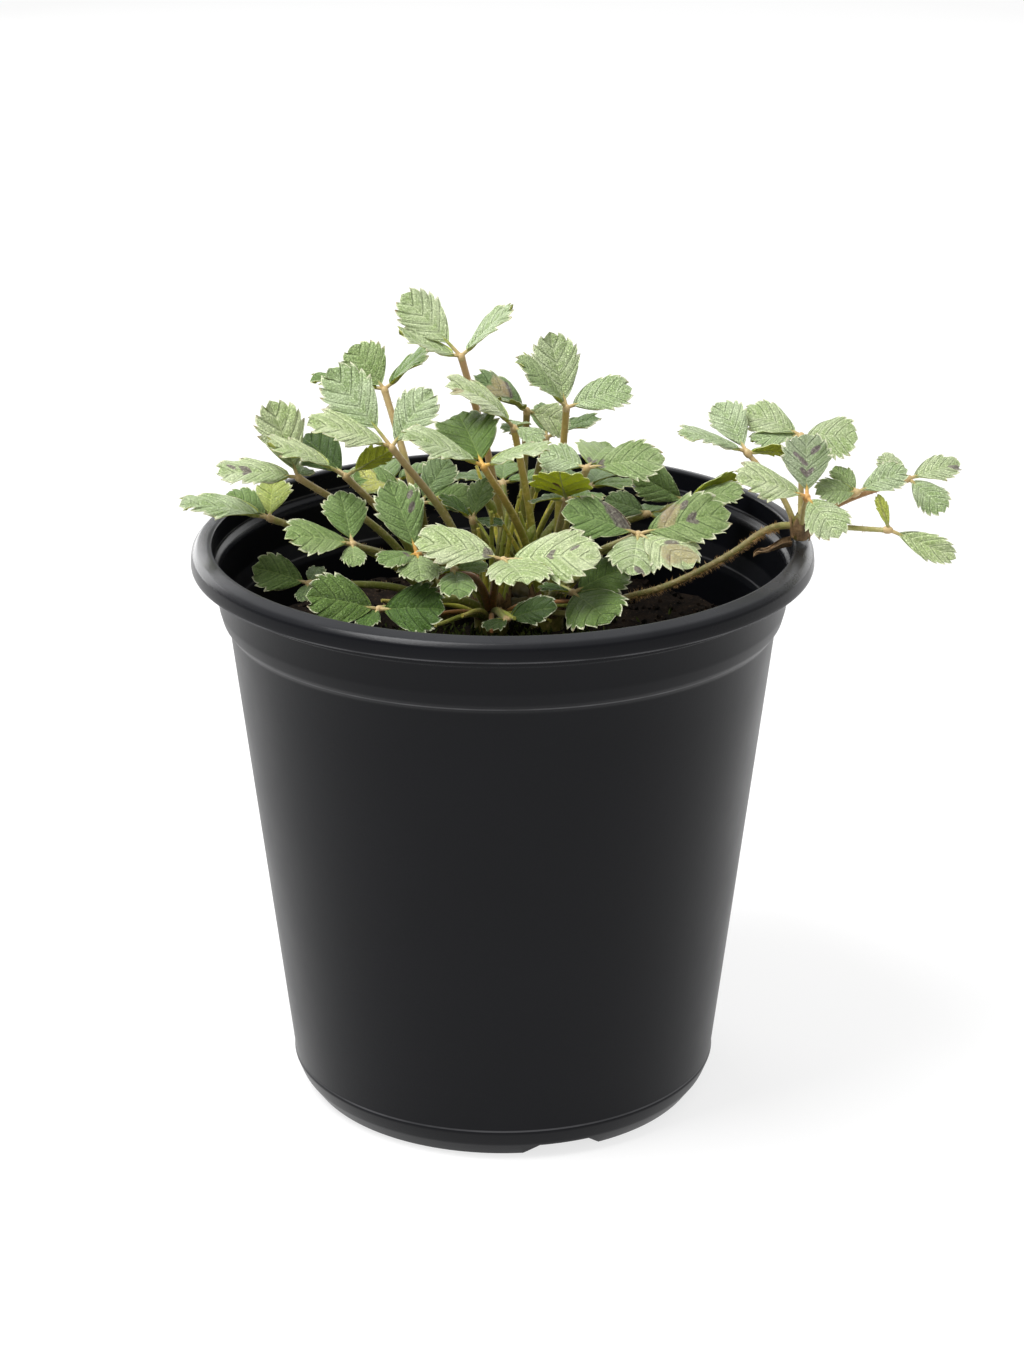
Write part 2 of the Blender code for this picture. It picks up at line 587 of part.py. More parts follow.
def leaflet_frame(leaflet):
    """Columns: along the leaflet at its base, to its left, and up out of its face."""
    forward = facing(leaflet.heading, leaflet.pitch - leaflet.bend / 2)
    left = Vector((0, 0, 1)).cross(forward).normalized()
    frame = Matrix((forward, left, forward.cross(left))).transposed()
    return Matrix.Rotation(math.radians(leaflet.roll), 3, facing(leaflet.heading, leaflet.pitch)) @ frame


def blade_point(leaflet, along, across, depth):
    """Bends and folds a flat blade point. depth is in millimetres below the upper face."""
    length = leaflet.length
    stalk = leaflet.stalk * length
    bend = math.radians(leaflet.bend)
    turn = bend * max(along - leaflet.stalk, 0) / (1 - leaflet.stalk)
    radius = (length - stalk) / bend  # of the bend, and negative where the blade droops
    forward = stalk + radius * math.sin(turn) if along > leaflet.stalk else along * length
    lift = length * ((leaflet.cup + 0.16) * abs(across) - 0.5 * across * across) - depth
    return Vector((forward - lift * math.sin(turn), length * across,
                   radius * (1 - math.cos(turn)) + lift * math.cos(turn)))


def side_faces(bm, spine, edge, starts):
    """Fans from the midrib's points out to one margin. starts gives where each margin point's vein starts."""
    at = 0
    for i in range(1, len(edge) - 1):
        bm.faces.new((spine[at], edge[i], edge[i + 1]))
        if at + 1 < len(spine) and starts[i + 1] > SPINE[at + 1] - 0.1:
            bm.faces.new((spine[at], edge[i + 1], spine[at + 1]))
            at += 1


def leaflet_object(leaflet, hub, teeth):
    """A thin closed blade. Both of its faces share one pattern of triangles."""
    bm = bmesh.new()
    frame = leaflet_frame(leaflet)
    free = 1 - leaflet.stalk

    def place(along, across, depth):
        point = blade_point(leaflet, leaflet.stalk + free * along, free * across, depth)
        return bm.verts.new(hub + frame @ point)

    side = half_outline(teeth)
    neck = NECK_HALF / leaflet.length / free
    root = -leaflet.stalk / free
    starts = [0, 0] + [along - VEIN_SLANT * across for along, across in side] + [1]
    layers = []
    for depth in (0, BLADE_THICK):
        spine = [place(x, 0, depth) for x in SPINE]
        tip = place(1 + TOOTH_OUT, 0, depth)
        edges = []
        for sign in (1, -1):
            outline = [(root, neck), (0, neck)] + [(x, leaflet.wide * y) for x, y in side]
            edges.append([place(x, sign * y, depth) for x, y in outline] + [tip])
            side_faces(bm, spine, edges[-1], starts)
        bm.faces.new((spine[0], edges[0][1], edges[1][1]))
        bm.faces.new((edges[0][0], edges[0][1], edges[1][1], edges[1][0]))
        layers.append(edges)
    top, low = layers
    for upper, lower in zip(top, low):
        join_strips(bm, upper, lower)
    bm.faces.new((top[0][0], top[1][0], low[1][0], low[0][0]))
    bmesh.ops.triangulate(bm, faces=[face for face in bm.faces if not stalk_side(face, hub, leaflet)])
    bmesh.ops.recalc_face_normals(bm, faces=bm.faces)
    return add_object("leaflet", bm, None)


def stalk_side(face, hub, leaflet):
    """Whether a face is one of the flat sides of the leaflet's stalk."""
    reach = leaflet.length * leaflet.stalk + 1
    return len(face.verts) == 4 and all((vert.co - hub).length < reach for vert in face.verts)


def join_strips(bm, upper, lower):
    for i in range(len(upper) - 1):
        bm.faces.new((upper[i], upper[i + 1], lower[i + 1], lower[i]))


def make_leaf(name, leaf, finish):
    """The knob that the petiole ends under and the leaflets that grow from it, as one piece."""
    hub = Vector(leaf.hub)
    route = petiole_route(petiole_foot(leaf), hub)
    along = (hub - route[-1]).normalized()
    knob_route = [hub - along * KNOB_LOW, hub + along * 0.3, hub + along * 1.3]
    knob = tube(knob_route, [PETIOLE_TIP_R, KNOB_R, 0.7], PETIOLE_SIDES)
    made = add_object("leaf_" + name, knob, finish)
    return fuse(made, [leaflet_object(leaflet, hub, leaf.teeth) for leaflet in leaf.leaflets])


def make_bract(finish):
    """The dry brown sheath left where the runner rooted, curled like a gutter."""
    route = smooth_route(BRACT_ROUTE, 2)
    bm = bmesh.new()
    rings = []
    for i, at in enumerate(route):
        t = i / (len(route) - 1)
        half = BRACT_HALF * (1 - 0.75 * t)
        ring = []
        for radius in (half, half - BRACT_THICK * (1 - 0.3 * t)):
            turns = [math.radians(bearing) for bearing in BRACT_ARC]
            arc = [at + Vector((0, radius * math.cos(a), radius * math.sin(a) + 2)) for a in turns]
            ring += arc if radius == half else arc[::-1]
        rings.append([bm.verts.new(p) for p in ring])
    for first, second in zip(rings, rings[1:]):
        join_rings(bm, first, second)
    bm.faces.new(rings[0])
    bm.faces.new(rings[-1])
    bmesh.ops.recalc_face_normals(bm, faces=bm.faces)
    return add_object("dry_bract", bm, finish)


def main():
    for made in list(bpy.data.objects):
        bpy.data.objects.remove(made)
    black = material("black_plastic", (0.012, 0.012, 0.014), 0.42)
    peat = material("peat", (0.018, 0.012, 0.008), 0.95)
    stalk = material("petiole", (0.42, 0.30, 0.14), 0.5)
    hairy = material("runner", (0.22, 0.17, 0.07), 0.6)
    green = material("leaf", (0.16, 0.27, 0.10), 0.5)
    brown = material("dry_sheath", (0.13, 0.07, 0.035), 0.8)
    make_pot(black)
    make_soil(peat)
    make_crowns(stalk)
    make_daughter(stalk)
    make_runner(hairy)
    make_bract(brown)
    for name, leaf in {**LEAVES, **DAUGHTER_LEAVES}.items():
        make_leaf(name, leaf, green)
    for made in bpy.context.scene.objects:
        made.data.shade_smooth()
        made.data.set_sharp_from_angle(angle=math.radians(SMOOTH_ANGLE))


main()
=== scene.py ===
"""The looks of the potted strawberry plant: a finer pot, soil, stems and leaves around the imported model.

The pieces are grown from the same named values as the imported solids, so each one keeps the form of the
node that it replaces. Lengths are millimetres until a mesh is made, and angles are degrees where no
comment says radians.
"""

import math
from collections import namedtuple
from itertools import product

import bmesh
import bpy
import numpy as np
from mathutils import Matrix, Vector, noise


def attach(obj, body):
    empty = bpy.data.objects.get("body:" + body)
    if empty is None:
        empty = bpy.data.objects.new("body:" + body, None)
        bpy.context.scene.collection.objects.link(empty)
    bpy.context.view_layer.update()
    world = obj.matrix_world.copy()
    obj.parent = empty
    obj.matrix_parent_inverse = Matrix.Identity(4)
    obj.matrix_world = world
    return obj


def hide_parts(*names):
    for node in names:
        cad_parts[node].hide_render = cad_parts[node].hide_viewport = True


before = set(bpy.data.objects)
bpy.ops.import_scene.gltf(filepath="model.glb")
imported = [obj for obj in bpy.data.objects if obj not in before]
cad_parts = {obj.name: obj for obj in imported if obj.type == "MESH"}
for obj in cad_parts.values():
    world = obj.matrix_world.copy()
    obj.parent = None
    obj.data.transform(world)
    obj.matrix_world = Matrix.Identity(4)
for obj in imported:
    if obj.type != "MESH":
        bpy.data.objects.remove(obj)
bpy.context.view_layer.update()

MM = 0.001
GAP = 0.35  # clearance between pieces that rest on or in each other
rng = np.random.default_rng(11)
ANY_TURN = 6.28  # the most that a random turn can be, in radians
SPIRAL = 2.4  # radians from one scale or young stem to the next

# The pot
RIM_R = 82.5
RIM_TOP = 155.2
RIM_DROP = 5.8  # height of the rim's outer face
MOUTH_R = 76.9
COLLAR_TOP = 146.6
COLLAR_FOOT = 133.0  # where the collar curves back into the body
BODY_R0 = 56.9  # the tapered body's radius, taken down to the floor
BODY_SLOPE = 0.1193  # radius gained per millimetre of height
FOOT_R = 53.5
FOOT_TOP = 8.7
WALL = 1.25
FLOOR_UNDER = 3.0
FLOOR_TOP = 4.5
PAD_R = 18.0  # a flat pad under the middle of the floor
NOTCH_COUNT = 3
NOTCH_FIRST = -73.0  # bearing of the notch that shows at the front
NOTCH_HALF_FOOT = 10.8
NOTCH_HALF_TOP = 6.8
NOTCH_HEIGHT = 3.5
NOTCH_REACH = 7.0  # how far the notch's cutter runs on each side of the foot ring
DRAIN_HALF = 5.0
DRAIN_REACH = (10.0, 4.0)  # the drain slot's ends, inward from the foot ring
FILLED_FROM = 12.0  # where the body's taper starts on the inside
POT_TURNS = 160  # sides round the pot
POT_STEP = 12.0  # longest step along the pot's profile
SCUFF_AND_HIGHLIGHT_LEVELS = (COLLAR_FOOT + 1.2, FOOT_TOP + 0.2, RIM_TOP - RIM_DROP + 0.3)  # heights of the edges' scuffs and painted highlight lines

# The soil
SOIL_TOP = 122.5
SOIL_MOUND = 2.0
SOIL_LUMP = 1.5
LUMP_SIZES = (5.5, 2.6)
FINE_LUMP, FINE_SIZE = 0.35, 1.1  # height and size of the finest lumps
SOIL_RINGS = 60
SOIL_TURNS = 150
CRUMBS = 900
CRUMB_SHADES = (0.5, 1.0, 1.8, 3.0)  # over the soil's own colour
CRUMB_SHARES = (0.35, 0.35, 0.2, 0.1)
CRUMB_FACES = [[0, 1, 3, 2], [4, 6, 7, 5], [0, 4, 5, 1], [2, 3, 7, 6], [0, 2, 6, 4], [1, 5, 7, 3]]
MOSS_SHOOTS = 1300
MOSS_X, MOSS_Y = (2, 18), (-4, 14)  # middle and spread of the moss
THIRD_TURN = 2.09  # radians

# Blades. Lengths in this group are shares of a leaflet's length, unless they say otherwise.
BLADE_THICK = 0.42  # millimetres, at the midrib
BLADE_THINS = 0.55  # share of the thickness that is gone at the margin
BLADE_WIDTH = 0.7
BLADE_LIFT = 0.16  # how far a blade's sides rise from its midrib for each step outward
BLADE_ARCH = 0.5  # how far they then curve down again
BLADE_ROWS = 9
BASE_COLUMNS = 9  # columns that end on the smooth part of the margin
ROW_EASE = 0.92  # under 1, so that rows close up towards the margin
ROW_BULGE = 0.32  # how far side veins curve outward on their way
WEDGE = 0.95  # how straight the sides run in to the base
ROUND = 0.55  # how blunt the tip is
TIP_EASE = 1.5  # over 1, so that steps along the margin close up towards the tip
TOOTH_START = 0.36  # share of the margin that is smooth, from the base
TOOTH_OUT = 0.022  # how far a tooth stands out
TOOTH_DEEPER = 1.45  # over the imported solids' teeth
TOOTH_VARIES = (-0.4, 0.5)  # the least and most that is added to it for one tooth
TOOTH_LEAN = 0.65  # how far a tooth leans to the tip for each step outward
# A tooth's outline from notch to notch: where, and how far out
TOOTH_STEPS = ((0.0, -1.0), (0.06, -0.45), (0.16, 0.05), (0.3, 0.45), (0.45, 0.7), (0.6, 0.9), (0.7, 1.3),
               (0.78, 0.75), (0.9, -0.45))
SHALLOW = (0.2, 0.3)  # a side's first notch: the share of the tooth it takes, its depth over the usual
TIP_STEPS = ((0.0, -1.3), (0.1, -0.5), (0.3, 0.3))  # one side of the tooth at the tip
TIP_SPAN = 0.55  # half the width of the tooth at the tip, over a side tooth's
TIP_OUT = 1.6  # how far it stands out, over TOOTH_OUT
VEIN_END = 0.68  # where in a tooth its side vein ends
SIDE_SLANT = 1.1  # how far forward a side vein runs for each step outward
PLEAT = 0.014  # height of the folds between side veins
GROOVE = 0.02  # depth of the groove over the midrib
GROOVE_HALF = 0.035
GROOVE_FADES = 0.6  # share of the groove's depth that is gone at the tip
RIPPLES = ((0.028, 2, 1.0, 9), (0.014, 3, 2.3, 21))  # height, power of its rise outward, phase, turns
RIDGE, RIDGE_HALF = 0.16, 0.09  # a side vein under the blade: millimetres, and share of a vein's span

# A leaflet's rib, in millimetres and shares of the leaflet's length
RIB_R, RIB_TIP_R = 0.52, 0.1
RIB_END = 0.86
STALK_DEPTH = 0.12  # of the bare stalk, below the blade's upper face

# Stems
PETIOLE_FOOT_R = 1.15
PETIOLE_TIP_R = 0.9
PETIOLE_SHORT = 0.5  # how far from the hub a petiole stops
PETIOLE_SEAT = (0.35, 0.45)  # where it starts: shares of its crown's height and radius
FOOT_SWELL, TIP_SWELL = (0.35, 0.07), (0.12, 0.05)  # how much wider its ends are, over what share
PETIOLE_HAIRS, HAIR = 70, 0.8  # a petiole's hairs and how long they are
DAUGHTER_THIN = 0.72  # a daughter petiole's thickness over the usual thickness
SHOULDER = (0.25, 0.5, 0.08)  # where it starts to lean: share of its reach out, of its rise, and lift
APPROACH = (0.32, 0.24)  # how it comes in to the leaf: share of its reach out and of its rise
TAN_FROM, TAN_OVER = 134, 58  # petioles turn from green to tan from this height, over this height
KNOB = ((-1.6, 0.855), (-0.9, 1.05), (-0.1, 1.05), (0.6, 0.8), (0.95, 0.3))  # steps past the hub, radii
RUNNER_R = 0.95
RUNNER_STEPS = 12  # for each leg of its route
RUNNER_ENDS = (24, 12)  # steps at the runner's ends that belong to the crowns
RUNNER_HAIRS, RUNNER_HAIR = 900, 1.2
HAIR_HALF = 0.08
THIN_OUT = 3  # how far from its crown's axis a bare stem starts
THIN_TAPER = 0.4  # how much thinner in radius it is at its tip
YOUNG_STEMS, YOUNG_R = 40, 0.85
YOUNG_REACH, YOUNG_RISE, DEAD_RISE = (5, 17), (16, 34), (3, 9)  # how far out and up their tips are
BUD_R, BUD_SHORT = 1.3, 0.6  # a folded leaf's radius, and how far before its stem's tip it starts
FRONT_STALKS, FRONT_R = 9, 0.9
FRONT_REACH, FRONT_RISE = (24, 36), (5, 13)
FRONT_STEP, FRONT_WANDER = 15, 4  # degrees between their bearings, and how far each strays

# A crown: where it stands, its radius and its height. Its root plug goes ROOT_DEPTH into the soil.
Crown = namedtuple("Crown", "x y radius height")
ROOT_DEPTH = 9.0
CROWNS = {
    "front": Crown(-3, 12, 4.6, 9),
    "right": Crown(12, 16, 4.4, 9),
    "rear": Crown(3, 34, 4.4, 9),
    "left": Crown(-18, 22, 4.4, 9),
}
CROWN_SEAT = SOIL_TOP + SOIL_MOUND + 1.9  # crowns and rhizomes lie just above the soil's lumps
CROWN_TURNS = 20
RHIZOMES = (("left", "front"), ("front", "right"), ("right", "rear"), ("rear", "left"))
RHIZOME_R = 2.6
RHIZOME_LIFT = 0.6
SCALE_ROWS, SCALE_COLUMNS = 6, 5
SCALE_HALF = 0.55  # radians round the crown, at a scale's foot
SCALE_THICK = 0.25

# Tints of the blades
PALE = (0.68, 0.755, 0.46)
FROST = (0.61, 0.69, 0.43)
SAGE = (0.54, 0.635, 0.4)
LIGHT = (0.41, 0.51, 0.25)
FERN = (0.32, 0.42, 0.17)
MID = (0.245, 0.355, 0.125)
FOREST = (0.155, 0.245, 0.055)
GREY = (0.22, 0.31, 0.14)
ASH = (0.36, 0.42, 0.27)
DEEP = (0.1, 0.19, 0.03)
# painted shade: DARK is a darker green for leaflets that lie in shade
DARK = (0.06, 0.115, 0.016)
YELLOW = (0.5, 0.56, 0.16)
LIME = (0.4, 0.5, 0.01)

# A leaf: the crown it grows from, its hub where the leaflets meet, its teeth on each side, its leaflets.
# A leaflet: its tint, its length from the hub to its tip, the heading and pitch of that line, its roll
# about the midrib (right-hand rule; 0 keeps the blade level across), its width over the usual width,
# the bend along it, and the share of its length that is bare stalk.
Leaflet = namedtuple("Leaflet", "tint length heading pitch roll wide bend stalk", defaults=(1, -25, 0.1))
Leaf = namedtuple("Leaf", "crown hub teeth leaflets")

LEAVES = {
    "top": Leaf("rear", (-11, 20, 199), 4, (
        (FROST, 22.5, 156, 41, -48, 0.95, -10, 0.22), (SAGE, 19, 8, 43, 5, 1, -15),
        (FROST, 19, -160, 26, -8, 1, 10))),
    "top_left": Leaf("left", (-32, 34, 186), 4, (
        (LIGHT, 14.5, 150, 46, -48, 1.4), (MID, 18.5, 16, 40, -5, 1, -10), (MID, 20, -174, 8, -4))),
    "left_high": Leaf("front", (-29, -4, 181), 4, (
        (SAGE, 26, 149, 44, -48, 0.95, -12, 0.24), (PALE, 24, -160, 20, -16), (SAGE, 18, 24, 50, 36))),
    "left_far": Leaf("left", (-54, 2, 171), 4, (
        (PALE, 21, 148, 66, -25, 1, -15), (FROST, 22, -160, 7, -12), (MID, 10, 84, -2, 20))),
    "left_mid": Leaf("left", (-41.5, 3, 171), 4, (
        (PALE, 24, -158, 25, -12, 1, -25, 0.22), (DARK, 19, 130, 19, -30),
        (MID, 15, -16, 33, -50, 1, -10, 0.22))),
    "left_rim": Leaf("left", (-62, 4, 159), 4, (
        (SAGE, 24, -167, 12, -8, 0.85), (YELLOW, 15, 88, 24, -10, 1.15, -10), (MID, 14, 150, 20, -20))),
    "pit_left": Leaf("left", (-52, 6, 140), 3, (
        (MID, 15.5, 172, 14, -48, 1.1), (GREY, 8, -100, -20, 0), (GREY, 8, 70, 16, 0))),
    "left_near": Leaf("left", (-39, -18, 159), 4, (
        (FERN, 19, -155, 13, -22, 1.15), (MID, 15.5, 108, 42, 0, 1.2), (LIGHT, 10, -85, -18, 0))),
    "front_left": Leaf("front", (-32, -32, 146), 4, (
        (FOREST, 19.5, -164, 16, -52, 1.15), (DEEP, 18, -18, 6, 52, 1.2), (DEEP, 10, -112, -12, 0))),
    "mid_left": Leaf("front", (-22, -26, 159), 4, (
        (MID, 20, 132, 56, -22), (MID, 12, -142, -2, -12, 1.1), (LIGHT, 13, -84, -16, 0, 1.3))),
    "front_small": Leaf("front", (-12.5, -33, 157), 3, (
        (MID, 15, -84, -10, 0, 1, -20), (MID, 7, 148, -20, -20), (MID, 9, 20, 0, 20))),
    "front_mid": Leaf("front", (0.2, -34, 160), 4, (
        (PALE, 23, -176, 12, -24, 1, -30), (PALE, 25, -13, 4, 26, 1.1),
        (PALE, 19, -72, -3, 0, 1.35, -30))),
    "centre": Leaf("right", (-5, -8, 177), 4, (
        (FROST, 24, -159, 24, -14), (FOREST, 24, 107, 18, -14, 1.1), (FROST, 20, -26, 20, 6))),
    "centre_arch": Leaf("right", (3, 14, 181), 4, (
        (PALE, 24, -158, 34, -20, 0.9, -45), (SAGE, 10, -40, -12, 20), (SAGE, 9, 75, -8, 0))),
    "back_rust": Leaf("rear", (6.6, 34, 180), 3, (
        (GREY, 17, 168, 30, -20), (SAGE, 12, -128, 26, 0), (PALE, 13, 14, -22, 50, 1.2, -10))),
    "high_right": Leaf("right", (17, 16, 186), 4, (
        (FROST, 20, 124, 66, -12, 1, -12), (LIGHT, 20, -158, 44, -26), (SAGE, 18, 8, 14, 32, 1.05))),
    "behind_right": Leaf("rear", (12, 42, 170), 3, (
        (GREY, 13, 92, 28, 0), (GREY, 16, 15, 15, 8, 0.7), (GREY, 13, -172, 14, -12))),
    "right_big": Leaf("right", (22, -6, 176), 4, (
        (SAGE, 13, 158, 10, -34, 1.2, -15), (LIGHT, 20, 0, 5, 34), (LIGHT, 18, 70, 2, 12, 1.2))),
    "olive": Leaf("right", (16.7, -12, 169.5), 3, (
        (LIME, 16, -100, 43, 0, 1.5, 8), (MID, 11, 30, -6, 0), (MID, 11, 150, -14, 0))),
    "scorched": Leaf("right", (35, -22, 163), 4, (
        (MID, 21, -171, 19, -34), (FERN, 24, 5, 11, 36), (FROST, 17.5, -97, -20, -6, 1.2, -30),
        (PALE, 19, -44, -16, 6, 1.25, -30))),
    "front_right": Leaf("right", (18, -32, 150.5), 4, (
        (FOREST, 16, 28, 14, 30, 1.2), (FOREST, 18, -60, -9, 20, 1.45), (DEEP, 9, 172, 6, 0))),
    "low_dark": Leaf("front", (1, -12, 136), 3, (
        (DARK, 15, -22, 20, 32), (DARK, 10, -120, 0, 0), (DARK, 12, 30, 10, 16))),
    "back_right": Leaf("rear", (50, 28, 156), 4, (
        (MID, 16, 165, 27, -78), (MID, 16, 20, 16, -50), (LIGHT, 16, -10, 11, 20))),
    "back_grey": Leaf("rear", (39, 14, 157), 3, (
        (GREY, 12, 165, 14, -46), (GREY, 10, 75, -6, 0), (GREY, 10, -20, -14, 0))),
    "yellow_back": Leaf("left", (-26, 21, 161), 3, (
        (MID, 15, 166, 12, -34), (MID, 9, 22, 12, 0), (MID, 9, -160, -20, 0))),
    "mid_grey": Leaf("left", (-22, 14, 160), 3, (
        (GREY, 15, 50, 38, 24), (MID, 15, -2, 6, 34), (GREY, 9, -120, -8, 0))),
    "centre_low": Leaf("front", (-8, 6, 158), 3, (
        (MID, 12, 60, 50, 0), (DEEP, 11, 160, 30, 0), (DEEP, 10, -40, 0, 0))),
    "right_low": Leaf("right", (25.5, -16, 150.5), 3, (
        (GREY, 11, 150, 30, -30), (DEEP, 10, -70, -14, 0), (DEEP, 9, 20, 4, 0))),
    "rear_left": Leaf("left", (-30, 50, 155), 3, (
        (MID, 18, 112, 2, 0), (MID, 16, 175, 4, 0), (MID, 16, 42, 2, 0))),
    "rear_mid": Leaf("rear", (0, 55, 153), 3, (
        (MID, 18, 88, 0, 0), (GREY, 14, 165, 2, 0), (MID, 15, 18, 2, 0))),
    "rear_right": Leaf("rear", (24, 48, 154), 3, (
        (GREY, 18, 70, 0, 0), (MID, 14, 130, 2, 0), (MID, 14, 0, 2, 0))),
}

# The daughter plant stands on the rim at the end of the runner.
DAUGHTER = Crown(78.5, -4, 2.6, 7)
DAUGHTER_SEAT = RIM_TOP + GAP
DAUGHTER_LEAVES = {
    "d_left": Leaf("daughter", (64, 0, 178.5), 4, (
        (SAGE, 20, -162, 18, -4), (SAGE, 18, 114, 30, -26, 0.85), (MID, 11, -8, 0, -42))),
    "d_top": Leaf("daughter", (79, 8, 180.5), 4, (
        (FROST, 17, 160, 16, -30, 1, -35), (SAGE, 14, -164, -2, -16, 1, -20),
        (FROST, 14.7, -8, -1, 34, 1.5, -20))),
    "d_mid": Leaf("daughter", (79, -14, 170.5), 4, (
        (PALE, 21, -162, 19, -26), (ASH, 18, 88, 46, 0, 1.1, -20), (FROST, 16, -60, -26, 20, 1.15))),
    "d_right": Leaf("daughter", (93, -5, 169), 4, (
        (LIGHT, 13, -152, 6, -36), (LIGHT, 10, 130, 26, -10), (SAGE, 14, 0, 24, 38))),
    "d_far": Leaf("daughter", (107.7, 6, 169.3), 4, (
        (FROST, 14, 8, 13, 26), (FROST, 10, 152, 28, -26), (SAGE, 14, -46, -28, 30))),
    "d_low": Leaf("daughter", (101.5, -8, 159.5), 4, (
        (PALE, 18.5, -14, -20, 60, 0.62, -15, 0.12), (PALE, 10, 172, 70, 80, 0.5, -10))),
}
RUNNER_ROUTE = ((12, 14, 129), (19, 7, 131), (25, 1, 135.5), (33, -6, 140.2), (42, -9, 143.9),
                (52, -9, 148.6), (61, -7, 153.2), (68, -5, 157.7), (73, -4.2, 159.4), (78, -4, 159.4))
BRACT_ROUTE = ((76.1, -5.2, 155), (71.5, -7.8, 154.1), (68, -9.2, 153.2), (65.8, -9.8, 151.6))
BRACT_HALF = 2.7
BRACT_NARROWS = 0.6  # share of its width that is gone at its end
BRACT_THICK = 0.3
BRACT_ARC = (195, 345)  # bearings round the sheath's length, open at the top
BRACT_SIDES = 11
BRACT_LIFT = 2.0  # of the sheath's middle over its route

# Marks on the leaves, by leaf and leaflet: the kind, the place along and across it, and the size
PURPLE, TAN, BLOTCH = 0, 1, 2
MARKS = {
    ("left_far", 1): ((PURPLE, 0.62, 0.04, 0.1), (PURPLE, 0.8, -0.1, 0.07)),
    ("mid_left", 0): ((PURPLE, 0.55, -0.16, 0.1), (PURPLE, 0.72, -0.2, 0.08)),
    ("mid_left", 1): ((PURPLE, 0.2, 0.05, 0.1),),
    ("front_mid", 0): ((PURPLE, 0.08, 0, 0.12),),
    ("front_mid", 1): ((PURPLE, 0.45, -0.02, 0.07), (PURPLE, 0.72, 0.12, 0.06)),
    ("centre_arch", 0): ((TAN, 0.9, 0.1, 0.12),),
    ("back_rust", 0): ((TAN, 0.5, 0.05, 0.3), (PURPLE, 0.4, -0.1, 0.2)),
    ("right_big", 1): ((PURPLE, 0.08, 0, 0.1),),
    ("right_big", 2): ((PURPLE, 0.1, 0, 0.12),),
    ("olive", 0): ((PURPLE, 0.35, 0.25, 0.06), (PURPLE, 0.5, -0.1, 0.1), (PURPLE, 0.3, -0.2, 0.08)),
    ("scorched", 0): ((PURPLE, 0.25, -0.18, 0.3),),
    ("scorched", 1): ((PURPLE, 0.3, 0.16, 0.14), (PURPLE, 0.55, 0.02, 0.1), (PURPLE, 0.5, 0.2, 0.08),
                      (TAN, 0.3, 0.1, 0.2)),
    ("scorched", 2): ((PURPLE, 0.92, 0.1, 0.12),),
    ("scorched", 3): ((PURPLE, 0.45, 0.12, 0.12), (PURPLE, 0.7, -0.2, 0.08), (TAN, 0.6, 0, 0.36),
                      (TAN, 0.85, 0.1, 0.25)),
    ("yellow_back", 0): ((BLOTCH, 0.5, 0.1, 0.35), (BLOTCH, 0.8, -0.15, 0.3)),
    ("yellow_back", 1): ((BLOTCH, 0.6, 0, 0.4),),
    ("d_mid", 1): ((PURPLE, 0.3, 0.03, 0.1), (PURPLE, 0.5, 0.06, 0.1), (PURPLE, 0.7, -0.14, 0.1),
                   (PURPLE, 0.6, 0.16, 0.08)),
    ("d_far", 0): ((PURPLE, 0.9, -0.1, 0.2),),
}
MARK_STRETCH = (0.5, 1.1)  # a mark is long along its side vein
MARK_FADE = (0.35, 1.25)  # where it starts to fade and where it ends, over its size
ONE_SIDED = 0.05  # a mark farther across than this stays on its own side of the midrib

# Colours of the leaves' details
NET_GREEN = (0.04, 0.09, 0.015)
RIB_GREEN = (0.45, 0.55, 0.2)
MARGIN_CREAM = (0.8, 0.83, 0.56)
TIP_CREAM = (0.84, 0.84, 0.62)
TIP_BROWN = (0.4, 0.25, 0.14)
# The lower face's yellow-greens, brightened as painted light shining through the blade
UNDER_GREENS_WITH_PAINTED_GLOW = ((0.5, 0.57, 0.004), (0.76, 0.83, 0.012))
UNDER_NET = (0.4, 0.44, 0.06)
UNDER_VEIN = (0.42, 0.45, 0.14)
UNDER_SPOT = (0.16, 0.07, 0.02)
# The kinds of mark in their order, each with its strength
MARK_COLOURS = (((0.14, 0.09, 0.11), 0.8), ((0.47, 0.38, 0.2), 0.75), ((0.62, 0.62, 0.16), 0.8))
MARK_FLECK = (0.45, 0.42, 0.36)

# Colours of the rest, each pair from dark to light. A stem's are low on it, high on it and its streaks'.
PETIOLE_COLOURS = ((0.25, 0.28, 0.06), (0.5, 0.36, 0.17), (0.6, 0.52, 0.28))
RUNNER_COLOURS = ((0.13, 0.15, 0.03), (0.34, 0.2, 0.08), (0.4, 0.32, 0.16))
BLACKS = ((0.0022, 0.0024, 0.0036), (0.0045, 0.0048, 0.0066))
# The pot's pale edge lines: scuffs, and a painted highlight along each edge
SCUFF_AND_HIGHLIGHT = (0.08, 0.08, 0.085)
# The pot's paler upward faces: dust, and a painted highlight on the faces that look up
DUST_AND_HIGHLIGHT = (0.034, 0.035, 0.038)
PEATS = ((0.004, 0.003, 0.0025), (0.022, 0.014, 0.009))
BARK = (0.12, 0.08, 0.05)
MOSSES = ((0.03, 0.045, 0.008), (0.09, 0.11, 0.02))
SHEATHS = ((0.04, 0.024, 0.012), (0.3, 0.19, 0.095))

